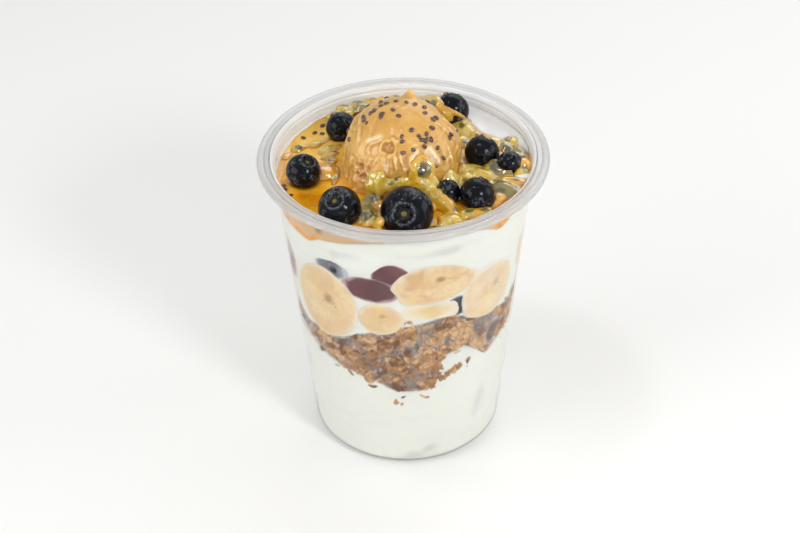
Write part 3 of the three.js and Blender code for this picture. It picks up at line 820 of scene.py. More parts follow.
def scatter_shape():
    """A tree that puts one of several kinds at each point, turned and sized as the point says."""
    shape = Shape("Scatter", {"Kinds": "NodeSocketCollection", "Unevenness": "NodeSocketFloat"})
    kinds = shape.add("GeometryNodeCollectionInfo", None, {
        "Collection": shape.source.other("Kinds"), "Separate Children": True, "Reset Children": True,
    })
    turn = shape.add("FunctionNodeEulerToRotation", None, {0: shape.named("turn", "FLOAT_VECTOR")})
    copies = shape.add("GeometryNodeInstanceOnPoints", None, {
        "Points": shape.source, "Instance": kinds, "Pick Instance": True,
        "Instance Index": shape.named("kind", "INT"), "Rotation": turn,
        "Scale": shape.named("size", "FLOAT_VECTOR"),
    })
    real = shape.add("GeometryNodeRealizeInstances", None, {"Geometry": copies})
    shape.close(shape.shift(real, shape.waves(shape.where(), 420, 1)))
    return shape


def melt_shape():
    """A tree that softens merged sacs, and gives each point the tone of the sac that it came from."""
    shape = Shape("Melt", {"Sacs": "NodeSocketObject", "Softness": "NodeSocketInt",
                           "Unevenness": "NodeSocketFloat"})
    place = shape.where()
    soft = shape.add("GeometryNodeBlurAttribute", {"data_type": "FLOAT_VECTOR"},
                     {"Value": place, "Iterations": shape.source.other("Softness")})
    melted = shape.move(shape.source, Position=soft)
    sacs = shape.add("GeometryNodeObjectInfo", None, {"Object": shape.source.other("Sacs")}, "Geometry")
    tone = shape.add("GeometryNodeSampleNearestSurface", {"data_type": "FLOAT"},
                     {"Mesh": sacs, "Value": shape.named("tone", "FLOAT")})
    toned = shape.add("GeometryNodeStoreNamedAttribute", {"data_type": "FLOAT", "domain": "POINT"},
                      {"Geometry": melted, "Name": "tone", "Value": tone})
    shape.close(shape.shift(toned, shape.waves(place, 360)))
    return shape


def scatter(name, kinds, spots, finish, unevenness=0.0):
    """A piece with a copy of one of the kinds at every spot. A kind is unit points and faces. A spot is a
    place, a turn as angles, a size along each axis, a kind's number and a tone."""
    templates = bpy.data.collections.new(name + "_kinds")
    for number, (points, faces) in enumerate(kinds):
        mesh = bpy.data.meshes.new(f"{name}_kind_{number}")
        mesh.from_pydata(points.tolist(), [], outward(points, faces))
        templates.objects.link(bpy.data.objects.new(mesh.name, mesh))
    places, turns, sizes, numbers, tones = (np.array(column, float) for column in zip(*spots))
    mesh = bpy.data.meshes.new(name)
    mesh.from_pydata((places * MM).tolist(), [], [])
    for label, kind, field, values in [
        ("turn", "FLOAT_VECTOR", "vector", turns), ("size", "FLOAT_VECTOR", "vector", sizes * MM),
        ("kind", "INT", "value", numbers.astype(int)), ("tone", "FLOAT", "value", tones),
    ]:
        mesh.attributes.new(label, kind, "POINT").data.foreach_set(field, values.ravel())
    piece = join_scene(name, mesh)
    scatter_shape().grow(piece, {"Kinds": templates, "Unevenness": unevenness * MM, "Finish": finish})
    for template in list(templates.objects):
        bpy.data.objects.remove(template)
    bpy.data.collections.remove(templates)
    return piece


def colour(name, description, default):
    """A colour that a maker can change."""
    return FloatVectorProperty(name=name, description=description, subtype="COLOR", default=default,
                               min=0, max=1)


def length(name, description, default):
    """A length that a maker can change."""
    return FloatProperty(name=name, description=description, default=default, unit="LENGTH")


class CupSettings(bpy.types.PropertyGroup):
    """Sizes and looks of the cup."""

    height: length("Height", "From the base to the top of the rim", CUP_TOP.z)
    rim_radius: length("Rim radius", "Outer radius of the rim", CUP_TOP.x)
    bead_radius: length("Bead radius", "Radius of the round bead at the rim", 0.0012)
    segments: IntProperty(name="Segments", description="Steps round the cup", default=192, min=24)
    tint: colour("Tint", "Colour of the plastic", (0.97, 0.98, 0.98))


class FillingSettings(bpy.types.PropertyGroup):
    """Sizes and looks of what lies against the wall."""

    reach: length("Reach", "How far the filling reaches into the wall", 0.00010)
    yogurt: colour("Yogurt", "Colour of the yogurt", (0.84, 0.85, 0.785))
    banana: colour("Banana", "Colour of the banana flesh", (0.82, 0.61, 0.36))
    grape: colour("Grape", "Colour of the grape skin", (0.100, 0.018, 0.024))
    oats: colour("Oats", "Colour of the pale oats", (0.76, 0.48, 0.25))
    toast: colour("Toast", "Colour of the toasted oats", (0.17, 0.07, 0.032))
    clumps: IntProperty(name="Clumps", description="Number of clumps of baked oats", default=64, min=8)
    crumbs: IntProperty(name="Crumbs", description="Number of loose crumbs", default=640, min=10)


class ToppingSettings(bpy.types.PropertyGroup):
    """Sizes and looks of the topping."""

    juice: colour("Juice", "Colour of the pool of pulp", (0.82, 0.31, 0.004))
    gel: colour("Gel", "Colour of the green pulp sacs", (0.80, 0.58, 0.05))
    butter: colour("Peanut butter", "Colour of the scoop", (0.61, 0.32, 0.060))
    skin: colour("Blueberry", "Colour of the blueberry skin", (0.003, 0.0035, 0.006))
    bloom: colour("Bloom", "Colour of the waxy bloom", (0.21, 0.235, 0.28))
    detail: length("Detail", "Size of the smallest feature of the merged pulp", 0.00033)
    sacs: IntProperty(name="Loose sacs", description="Number of further sacs of pulp", default=46, min=0)
    seeds: IntProperty(name="Loose seeds", description="Number of further chia seeds", default=26, min=0)


class StageSettings(bpy.types.PropertyGroup):
    """The floor and the light."""

    floor: colour("Floor", "Colour of the floor", (0.86, 0.86, 0.85))
    light: FloatProperty(name="Light", description="Strength of all the lights", default=1.0, min=0)


def clear_plastic(cup):
    """Clear plastic that is milky round the rim, above the filling. Its colour holds painted shade: a grey
    flange, darker at the front, an inner wall darker at the back, and dark lines round the rim.
    """
    look = Finish("clear_plastic", {
        "Roughness": 0.08, "IOR": 1.45, "Transmission Weight": 1, "Base Color": cup.tint, "Alpha": 0.4,
    })
    flat = look.axis_distance()
    outside = flat.ease(*FLANGE)
    split = look.split(look.place)
    back = split.other("Y").ease(-0.005, 0.035)
    # Painted shade: the flange is painted grey, darker at the front than at the back
    edge = look.mix(back, (0.60, 0.595, 0.58), (0.72, 0.715, 0.70))
    # Painted shade: the inner wall is painted darker at the back than at the front
    inside = look.mix(back, (0.985, 0.985, 0.98), (0.86, 0.855, 0.845))
    milk_and_painted_shade = look.mix(outside, inside, edge)
    # Dark lines of painted shade round the rim, fainter at the back
    for line, strength in RIM_SHADE_LINES:
        drawn = (1 - (flat - line).of("ABSOLUTE").ease(0.0001, 0.00034)) * (1 - back * 0.65) * strength
        milk_and_painted_shade = look.mix(drawn, milk_and_painted_shade, (0.10, 0.095, 0.09))
    milky = look.add("ShaderNodeBsdfPrincipled", None, {
        "Base Color": milk_and_painted_shade, "Roughness": 0.2, "IOR": 1.45, "Transmission Weight": 0.2, "Alpha": 0.9,
    })
    cloud = look.pattern(1, stretch=(40, 40, 120)) * 0.25
    rim = split.other("Z").ease(*MILKY) * (cloud + 0.75 - outside * 0.28)
    clear = Wire(look, look.shader.outputs[0])
    both = look.add("ShaderNodeMixShader", None, {0: rim, 1: clear, 2: milky})
    look.tree.links.new(both.socket, look.tree.nodes["Material Output"].inputs["Surface"])
    return look.material


def yogurt_finish(filling):
    """Frozen yogurt: painted grey shade along soft fold lines, painted shade where it leaves the wall, and a
    stain where juice lies over it.
    """
    look = Finish("yogurt_cream", {"Roughness": 0.42, "Specular IOR Level": 0.35},
                  (0.35, (1, 0.85, 0.7), 0.002))
    fold_shade = look.pattern(1, 3, 1.2, (70, 70, 190))
    level = look.split(look.place).other("Z")
    look.paint(filling.yogurt, {
        "top": (level.ease(0.0995, 0.1015), (0.87, 0.855, 0.85)),
        # Painted shade: grey streaks along soft fold lines, and grey where the yogurt leaves the wall a
        # little
        "fold_shade": (fold_shade.ease(0.42, 0.75) * 0.3, (0.76, 0.76, 0.74)),
        "painted_hollow_shade": (look.attribute("hollow") * 0.6, (0.60, 0.61, 0.60)),
        "juice": (look.attribute("stain"), (0.90, 0.62, 0.16)),
    })
    look.bump(look.pattern(900, 3), 0.00012)
    return look.material


def granola_finish(filling, name, by_tone):
    """Toasted oats. By tone, each piece has its own colour, with painted shade on pieces set further in;
    otherwise the core is dark and patchy, partly its toasted colour and partly painted shade in the gaps
    between clumps.
    """
    look = Finish(name, {"Roughness": 0.5, "Specular IOR Level": 0.45}, (0.1, (1, 0.6, 0.3), 0.0015))
    grain = look.pattern(900, 4)
    patches = look.pattern(300)
    warp = look.place + look.waves(look.place, 420) * (0.002, 0.002, 0.002)
    flake = look.cells(warp, 380, "F1", "Color")
    crevice = look.cells(warp, 380, "DISTANCE_TO_EDGE", "Distance")
    by_flake = (look.split(flake) - 0.5) * 0.5
    tone = look.attribute("tone") if by_tone else patches.ease(0.4, 0.7) * 0.3 + 0.75
    tone = tone + by_flake
    inner_face = look.split(look.place).other("Z") * WALL_SLOPE + (BASE_RADIUS - WALL) * MM
    depth = inner_face - look.axis_distance()
    look.paint(filling.oats, {
        # The tone, and with it the golden and toasted layers, holds painted shade: a dark core for the gaps
        # between clumps, and darker pieces further in
        "golden": ((tone + (patches - 0.5) * 0.7).ease(0.0, 0.5), (0.50, 0.245, 0.095)),
        "toasted": ((tone + (grain - 0.5) * 0.6).ease(0.4, 0.95), filling.toast),
        "dust": (grain.ease(0.58, 0.74) * 0.3, (0.82, 0.58, 0.34)),
        # Painted shade in the crevices between flakes, and deeper behind the wall
        "crevice_shade": ((1 - crevice.ease(0.0, 0.16)) * 0.5, (0.20, 0.085, 0.035)),
        "painted shade deep in the cup": (depth.ease(-0.00005, 0.0009) * 0.8, (0.13, 0.055, 0.03)),
    })
    look.bump(look.pattern(1500, 4), 0.0003, 0.8)
    return look.material


def banana_finish(filling):
    """Banana flesh: a pale ring round a three-lobed middle with small brown seeds. Reads the face's map."""
    look = Finish("banana_flesh", {"Roughness": 0.42, "Specular IOR Level": 0.4},
                  (0.25, (1, 0.7, 0.35), 0.0015))
    face = (look.add("ShaderNodeUVMap", {"uv_map": "Face"}) - (0.55, 0.62, 0)) * (2, 2, 0)
    place = face + look.waves(look.place, 180) * (0.16, 0.16, 0)
    split, radius = look.split(place), look.length(place)
    angle = split.math("ARCTAN2", split.other("Y"), split)
    petal = (angle * 3 + 0.6).of("COSINE") * 0.5 + 0.5
    core = 1 - (radius - petal * 0.1).ease(0.34, 0.46)
    streaks = look.noise(look.add("ShaderNodeCombineXYZ", None, {0: angle * 4, 1: radius * 1.6}), 2.2, 2)
    spots = (1 - look.cells(face, 13, "F1", "Distance").ease(0.18, 0.36)) * petal.ease(0.62, 0.9)
    band = radius.ease(0.05, 0.12) * (1 - radius.ease(0.26, 0.36))
    ripe = look.split(look.pattern(130, 2, 0.8).other("Color"))
    bruise = look.pattern(95, 2, 0.6).ease(0.42, 0.66) * (look.attribute("ripe") + 0.45)
    look.paint(filling.banana, {
        "streaks": (streaks.ease(0.35, 0.65) * 0.6, (0.88, 0.74, 0.52)),
        "edge": (radius.ease(0.84, 0.98) * 0.6, (0.76, 0.55, 0.22)),
        "middle": (core * 0.4, (0.76, 0.52, 0.20)),
        "seeds": (spots * band * 0.9, (0.17, 0.08, 0.03)),
        "heart": ((1 - radius.ease(0.03, 0.22)) * 0.8, (0.36, 0.16, 0.055)),
        "ripe": (ripe.ease(0.52, 0.66) * 0.5, (0.86, 0.70, 0.26)),
        "bruises": (bruise, (0.70, 0.45, 0.22)),
        "cream": (look.attribute("haze"), (0.86, 0.83, 0.76)),
    })
    look.bump(look.pattern(1400, 3), 0.00006)
    return look.material


def grape_finish(name, skin, sheen):
    """Smooth mottled skin, from its own colour to that of its sheen."""
    look = Finish(name, {"Roughness": 0.3, "Specular IOR Level": 0.5}, (0.15, (1, 0.25, 0.2), 0.0015))
    mottle = look.pattern(230, 3, 0.6)
    look.paint(skin, {
        "sheen": (mottle.ease(0.4, 0.7) * 0.55, sheen),
        "dark patches": (mottle.ease(0.5, 0.3) * 0.4, (0.07, 0.02, 0.03)),
        "cream": (look.attribute("haze"), (0.80, 0.62, 0.60)),
    })
    return look.material


def berry_finish(topping):
    """Dark skin with a rubbed waxy bloom. The crown's dish is brown, with a small olive scar. Its lip is
    lighter, partly wax and partly painted highlight along its ridge.
    """
    look = Finish("blueberry_skin", {"Specular IOR Level": 0.06, "Coat Roughness": 0.05})
    crown = look.attribute("crown")
    cloud = look.pattern(210, 4, 0.8)
    rubbed = look.pattern(1, 3, 1.5, (700, 260, 500))
    specks = look.pattern(1300, 3, 0.8)
    dust = (0.08 + rubbed.ease(0.46, 0.6) * 0.92) * (specks.ease(0.4, 0.6) * 0.7 + 0.3)
    bloom = cloud.ease(0.5, 0.62) * dust
    # The crown's lip: wax on its lobes, and painted highlight along its ridge
    lip = (1 - crown.ease(0.42, 0.52)) * crown.ease(0.35, 0.4) * specks.ease(0.4, 0.55)
    look.paint(topping.skin, {
        "bloom": (bloom * 0.55 + lip * 0.4, topping.bloom),
        "dish": ((1 - crown.ease(0.2, 0.34)) * 0.7, (0.02, 0.015, 0.013)),
        "scar": ((1 - crown.ease(0.08, 0.15)) * 0.85, (0.17, 0.15, 0.04)),
        "cream": (look.attribute("haze"), (0.52, 0.55, 0.60)),
    })
    look.set({"Roughness": bloom * 0.25 + 0.25, "Coat Weight": (1 - bloom) * 0.25})
    look.bump(rubbed * 0.6 + specks * 0.4, 0.00012)
    return look.material


def juice_finish(topping):
    """The pool of pulp: orange juice, clearer and browner to the right, painted brighter at the back, dark
    where a berry shows through, with painted contact shade round the berries and painted shade under the
    front rim.
    """
    look = Finish("pulp_juice", {
        "Roughness": 0.12, "IOR": 1.38, "Coat Weight": 0.5, "Coat Roughness": 0.04,
    }, (0.3, (1, 0.5, 0.08), 0.0018))
    cloud = look.pattern(110, 3, 0.8)
    swirl = look.pattern(380, 3, 1.6)
    split = look.split(look.place)
    side, back = split.ease(-0.012, 0.012), split.other("Y").ease(-0.01, 0.02)
    look.paint(topping.juice, {
        "yellow clouds": (cloud.ease(0.4, 0.62), (0.96, 0.47, 0.012)),
        # Painted light: the back of the pool is painted brighter, against the shade that falls there
        "painted light at the back": (back * 0.9, (1.0, 0.60, 0.08)),
        "brown swirls": (swirl.ease(0.46, 0.7) * (side * 0.5 + 0.12), (0.40, 0.19, 0.012)),
        # Painted shade under the front rim: greyish tan over the juice where it meets the wall
        "cream": (look.attribute("veil") * 0.85, (0.66, 0.47, 0.29)),
        # Darker round the berries on top: partly the berry showing through, partly painted contact shade
        "shade": (look.attribute("shade"), (0.09, 0.045, 0.02)),
    })
    look.bump(swirl, 0.0004, 0.6)
    return look.material


def gel_finish(topping):
    """Wet translucent pulp: amber where it is thin, paler and greener where it stands up, with pale patches
    that are partly painted sheen, and dark over a seed."""
    look = Finish("pulp_gel", {
        "Roughness": 0.08, "IOR": 1.45, "Transmission Weight": 0.15, "Coat Weight": 1, "Coat Roughness": 0.03,
        "Coat IOR": 2.0,
    }, (0.35, (1, 0.75, 0.2), 0.0015))
    tone, rise = look.attribute("tone"), look.attribute("rise")
    cloud = look.pattern(300, 3, 0.8)
    veins = look.pattern(430, 2, 1.4)
    look.paint(topping.gel, {
        # Partly the pulp's paler colour, partly painted sheen in pale patches
        "pale": ((cloud - tone * 0.3).ease(0.36, 0.62), (0.88, 0.72, 0.18)),
        "olive veins": (veins.ease(0.45, 0.7) * 0.42, (0.24, 0.20, 0.03)),
        "murky": ((0 - tone + (cloud - 0.5) * 0.5).ease(0.0, 0.4) * 0.85, (0.22, 0.185, 0.045)),
        "orange": ((tone + (cloud - 0.5) * 1.1).ease(0.1, 0.9), (0.95, 0.49, 0.014)),
        "amber where thin": ((1 - rise.ease(0.05, 0.5)) * 0.75, (0.68, 0.29, 0.007)),
        "over a seed": (look.attribute("seed") * 0.8, (0.075, 0.07, 0.03)),
    })
    look.set({"Alpha": rise.ease(0.0, 0.2) * 0.8 + 0.1})
    look.bump(look.pattern(650, 2, 0.6), 0.0005, 0.6)
    return look.material


def pit_finish():
    """The dark seeds inside the sacs of pulp."""
    look = Finish("pulp_seed", {"Roughness": 0.3, "Specular IOR Level": 0.5})
    grain = look.pattern(1100, 3)
    look.paint((0.035, 0.034, 0.022), {"worn": (grain.ease(0.4, 0.7), (0.15, 0.135, 0.08))})
    return look.material


def chia_finish():
    """Chia seeds: brown shells with pale mottling and a wet shine."""
    look = Finish("chia_shell", {"Roughness": 0.4, "Coat Weight": 0.15, "Coat Roughness": 0.08})
    mottle = look.pattern(2200, 3, 1.2)
    look.paint((0.050, 0.022, 0.014), {
        "mottling": (mottle.ease(0.45, 0.62), (0.32, 0.20, 0.16)),
        "darker seeds": (look.attribute("tone") * 0.5, (0.030, 0.013, 0.010)),
    })
    return look.material


def butter_finish(topping):
    """Peanut butter: warm tan, redder where it crumbles, and yellow where juice runs over it. Painted shade
    darkens its creases and crater, and painted light brightens its ridges and wet strokes.
    """
    look = Finish("peanut_butter", {"Roughness": 0.34, "Coat Weight": 0.35, "Coat Roughness": 0.12},
                  (0.12, (1, 0.55, 0.25), 0.0010))
    cloud = look.pattern(120, 3, 0.5)
    grain = look.pattern(1300, 4)
    ridge = look.attribute("ridge")
    look.paint(topping.butter, {
        "lighter clouds": (cloud.ease(0.35, 0.7), (0.71, 0.41, 0.105)),
        "specks": (grain.ease(0.6, 0.74) * 0.3, (0.36, 0.165, 0.05)),
        # The crumble attribute holds the crumbled stretch, and also painted shade inside the crater
        "crumbled_with_crater_shade": (look.attribute("crumble") * 0.8, (0.46, 0.19, 0.070)),
        # Painted shade in the creases, and painted light on the ridges
        "painted_crease_shade": ((0 - ridge).ease(0.1, 1) * 0.6, (0.40, 0.17, 0.035)),
        "painted_ridge_light": (ridge.ease(0.1, 1) * 0.5, (0.88, 0.62, 0.27)),
        # Painted highlights along the sheen strokes
        "painted highlights": (look.attribute("pale") * 0.8, (0.93, 0.74, 0.48)),
        "juice": (look.attribute("wet") * 0.8, (0.72, 0.34, 0.02)),
    })
    layers = look.pattern(1, 3, 1, (260, 260, 700))
    look.bump(grain * 0.5 + layers * 0.5, 0.00025, 0.7)
    return look.material


def rounded(corners, steps=6):
    """A profile through corners that are given as a radius, a height and a rounding."""
    points = []
    for i, (r, z, rounding) in enumerate(corners):
        here = np.array([r, z], float)
        if rounding == 0:
            points.append(here)
            continue
        before, after = (np.array(corners[i + k][:2], float) - here for k in (-1, 1))
        before, after = before / np.linalg.norm(before), after / np.linalg.norm(after)
        half = np.arccos(np.clip(before @ after, -1, 1)) / 2
        reach = rounding / np.tan(half)
        centre = here + (before + after) / np.linalg.norm(before + after) * rounding / np.sin(half)
        start, end = here + before * reach - centre, here + after * reach - centre
        for t in np.linspace(0, 1, steps + 1):
            way = start * (1 - t) + end * t
            points.append(centre + way / np.linalg.norm(way) * rounding)
    return points


def cup_profile(cup):
    """The cup's profile as radius and height: the base raised inside a foot ring, the tapered wall, a
    flange and a round bead."""
    top, rim, bead = (value / MM for value in (cup.height, cup.rim_radius, cup.bead_radius))
    under_rim = top - FLANGE_DROP
    neck = BASE_RADIUS + WALL_SLOPE * under_rim
    bead_r, bead_z = rim - bead, top - bead
    curl = [(bead_r + bead * np.cos(a), bead_z + bead * np.sin(a), 0)
            for a in np.radians(np.arange(-90, 91, 12))]
    return rounded([
        (0, RECESS, 0), (RECESS_RADIUS, RECESS, 0.9), (FOOT_RADIUS, 0, 0.35), (BASE_RADIUS, 0, CORNER),
        (neck, under_rim, 0.6), (neck + 0.8, bead_z - 0.6, 0.4), *curl,
        (bead_r - 0.9, top - 0.05, 0), (bead_r - 1.2, top - 0.4, 0), (bead_r - 1.5, top - 0.1, 0),
        (neck + 0.4, top - 0.2, 0.5), (neck - 0.5, top - 1.2, 0.7), (neck - 0.4, top - 2.1, 0.2),
        (neck - WALL, top - 2.5, 0.2),
        (BASE_RADIUS - WALL, WALL, CORNER - WALL), (FOOT_RADIUS + WALL, WALL, 0.4),
        (RECESS_RADIUS, RECESS + WALL, 0.9), (0, RECESS + WALL, 0),
    ])


class PARFAIT_OT_cup(bpy.types.Operator):
    """Make the clear cup, by turning its profile"""

    bl_idname = "parfait.cup"
    bl_label = "Cup"

    def execute(self, context):
        cup = context.scene.parfait_cup
        profile = [(r * MM, 0, z * MM) for r, z in cup_profile(cup)]
        mesh = bpy.data.meshes.new("cup_shell")
        mesh.from_pydata(profile, [(i, i + 1) for i in range(len(profile) - 1)], [])
        piece = join_scene("cup_shell", mesh)
        inputs = {"Segments": cup.segments, "Rows": len(profile), "Finish": clear_plastic(cup)}
        revolve_shape().grow(piece, inputs)
        hand_over(piece, "clear_plastic", "cup")
        return {"FINISHED"}


def wall_rings(low, high, degrees, count, reach):
    """Rings up the wall from a low to a high edge, reaching into it."""
    rings = []
    for t in np.linspace(0, 1, count):
        z = low + (high - low) * t
        rings.append((inner_radius(z) + reach(at_wall(degrees, z)), z))
    return rings


def face_rings(surface, degrees, shares=LAYER_SHARES):
    """Rings over a surface between layers."""
    heights = [height(surface, share, degrees) for share in shares]
    return [(share * inner_radius(z), z) for share, z in zip(shares, heights)]


def level_rings(level, radii, degrees):
    """Rings over a surface that a function gives the height of, at radii from the axis."""
    return [(r, level(*on_circle(r, degrees))) for r in radii]


def edge_line(corners, degrees):
    """A line through corners that are given as a place round the cup and a height, rounded a little."""
    places, levels = zip(*corners)
    return sum(np.interp(degrees + shift, places, levels, period=360) for shift in (-2, -1, 0, 1, 2)) / 5


def shaded(points):
    """How much each point of the yogurt lies in soft shade, from 0 to 1."""
    at, level = place_round(points), points[:, 2]
    shade = np.zeros(len(points))
    for place, middle, wide, tall in SHADED:
        across = np.radians(half_turn(at - place)) * inner_radius(middle) / wide
        away = np.hypot(across, (level - middle - 0.3 * tall * np.sin(2.5 * across)) / tall)
        shade = np.maximum(shade, 1 - ease(away + 0.35 * uneven(points, 3, 15), 0.0, 1.2))
    return shade


def tongue_height(degrees):
    """How far the lower yogurt climbs over the granola at the wall."""
    return 12.5 * ease(degrees, 15, 20) * (1 - ease(degrees, 30, 50))


class PARFAIT_OT_yogurt(bpy.types.Operator):
    """Make the frozen yogurt under the granola and round the fruit"""

    bl_idname = "parfait.yogurt"
    bl_label = "Yogurt"

    def execute(self, context):
        filling = context.scene.parfait_filling
        cream = yogurt_finish(filling)
        degrees = np.linspace(-180, 180, 360, endpoint=False)
        deep = filling.reach / MM

        def reach(spots):
            lip = edge_line(YOGURT_LIP, place_round(spots)) + 0.5 * uneven(spots, 3.2, 14)
            over = CREAM_OVER_FRUIT * ease(spots[..., 2] - lip, -0.5, 0.5) * (spots[..., 2] > 60)
            return deep * (0.75 + 0.25 * uneven(spots, 5, 1)) + over

        floor = [(0, 3.2), (23.6, 3.2), (25.4, 0.7)]
        corner = [(27.19 + 3.85 * np.cos(a), 4.5 + 3.85 * np.sin(a))
                  for a in np.radians(np.arange(-80, 1, 16))]
        top = edge_height(GRANOLA_BOTTOM, degrees)
        start = corner[-1][1] + 0.8
        edge = top + tongue_height(degrees) + 0.6 * uneven(at_wall(degrees, 45 + 0 * degrees), 2.2, 19)
        wall = wall_rings(start, edge, degrees, 60, reach)
        under = face_rings(GRANOLA_BOTTOM, degrees)[::-1]
        lower = [*floor, *corner, *wall, *under, (0, GRANOLA_BOTTOM["middle"])]

        wall = wall_rings(granola_top(degrees), edge_line(PULP_EDGE, degrees), degrees, 64, reach)
        below, above = face_rings(GRANOLA_TOP, degrees), face_rings(YOGURT_TOP, degrees)[::-1]
        upper = [(0, GRANOLA_TOP["middle"]), *below, *wall, *above, (0, YOGURT_TOP["middle"])]
        layers = [("yogurt_lower", lower, "yogurt_bottom"), ("yogurt_upper", upper, "yogurt_top")]
        for name, rings, node in layers:
            piece, points = turned_piece(name, rings, degrees, cream)
            tag(piece, "hollow", shaded(points))
            hand_over(piece, "yogurt", node)
        return {"FINISHED"}


def granola_top(degrees):
    """The upper edge of the granola at the wall. At the front it fills the gaps under the slices."""
    filled = ease(degrees, -64, -52) * (1 - ease(degrees, 50, 64))
    ragged = 0.8 * uneven(at_wall(degrees, 60 + 0 * np.asarray(degrees)), 2.4, 18)
    return edge_height(GRANOLA_TOP, degrees) + (2.9 + ragged) * filled


def in_granola(degrees, z, margin):
    """Whether a place at the wall lies within the granola by a margin, clear of the yogurt's tongue."""
    low, high = edge_height(GRANOLA_BOTTOM, degrees), granola_top(degrees)
    return low + tongue_height(degrees) + margin < z < high - margin


def oat_flake(seed):
    """A unit rolled oat: a thin oval with a crease down its middle and curled edges."""
    points, faces = ball("oat")
    x, y, z = points.T
    outline = 1 + 0.14 * uneven(points * (1, 1, 0), 0.8, seed)
    curl = 0.9 * (x * x - 0.4 * y * y) * (seed - 1) + 0.5 * uneven(points * (1, 1, 0), 0.6, seed + 5)
    crease = -0.5 * hump(y, 0.16) * (z > 0)
    return np.stack([x * outline, y * outline, z + curl + crease], -1), faces


def lump(seed, roughness, facets, kind="lump"):
    """A unit lump of baked oats, rounder or more broken."""
    points, faces = ball(kind)
    grow = 1 + roughness * uneven(points, 0.75, seed) + 0.5 * roughness * uneven(points, 0.3, seed + 3)
    return points * np.minimum(grow, 1.05 - facets * np.abs(uneven(points, 1.1, seed + 8)))[:, None], faces


def clump_centres(random, count):
    """Places for the clumps: those that the photo shows, and more wherever the wall is still bare."""
    centres = list(SHOWN_CLUMPS)
    for _ in range(4000):
        degrees, z, radius = random.uniform(-180, 180), random.uniform(34, 62), random.uniform(2.6, 5)
        if not in_granola(degrees, z, radius * 0.3):
            continue
        gaps = [np.hypot(np.radians(half_turn(degrees - d)) * GRANOLA_RADIUS, z - h) - 0.72 * (r + radius)
                for d, h, r, _ in centres]
        if min(gaps) > 0:
            centres.append((degrees, z, radius, random.uniform(0.15, 0.8)))
        if len(centres) == count:
            break
    return centres


def wall_turn(random, degrees, lean):
    """A turn that lays a flat piece along the wall, within a lean."""
    flat = Euler((random.uniform(-lean, lean) - np.pi / 2, random.uniform(-lean, lean), 0)).to_matrix()
    spin = Matrix.Rotation(random.uniform(0, 2 * np.pi), 3, "Z")
    return tuple((about_axis(degrees) @ flat @ spin).to_euler())


def clump_spots(random, centres, inset=0.35):
    """Spots for the oats and lumps of each clump, set in from the wall by a share of its radius."""
    lumps, oats = [], []
    for degrees, z, radius, tone in centres:
        depth = radius * inset
        for _ in range(int(5 * radius)):
            across, up = random.normal(0, radius * 0.42, 2)
            rise = max(0, 1 - (across**2 + up**2) / radius**2)
            at, level = degrees + np.degrees(across / GRANOLA_RADIUS), z + up
            size = random.uniform(0.9, 1.7) * (0.6 + radius / 9)
            inward = random.uniform(-0.3, 0.7)
            behind = depth + 0.6 - radius * 0.42 * rise + inward
            # A lump set further in from the wall gets a darker tone: painted shade
            spot = (at_wall(at, level, behind), tuple(random.uniform(0, 6, 3)), LUMP * size,
                    random.integers(3), np.clip(tone + 0.5 * inward + random.normal(0, 0.2), 0, 1))
            if behind - size < DEEPEST_FACE:
                lumps.append(spot)
        for _ in range(int(2.2 * radius)):
            across, up = random.normal(0, radius * 0.5, 2)
            at, level = degrees + np.degrees(across / GRANOLA_RADIUS), z + up
            size = OAT * random.uniform(0.7, 1.15)
            inward = random.uniform(0.1, 1.3)
            # An oat set further in gets a darker tone too: painted shade
            oats.append((at_wall(at, level, inward), wall_turn(random, at, 0.8), size,
                         random.integers(3), np.clip(tone + 0.5 * inward + random.normal(-0.4, 0.2), 0, 1)))
    return lumps, oats


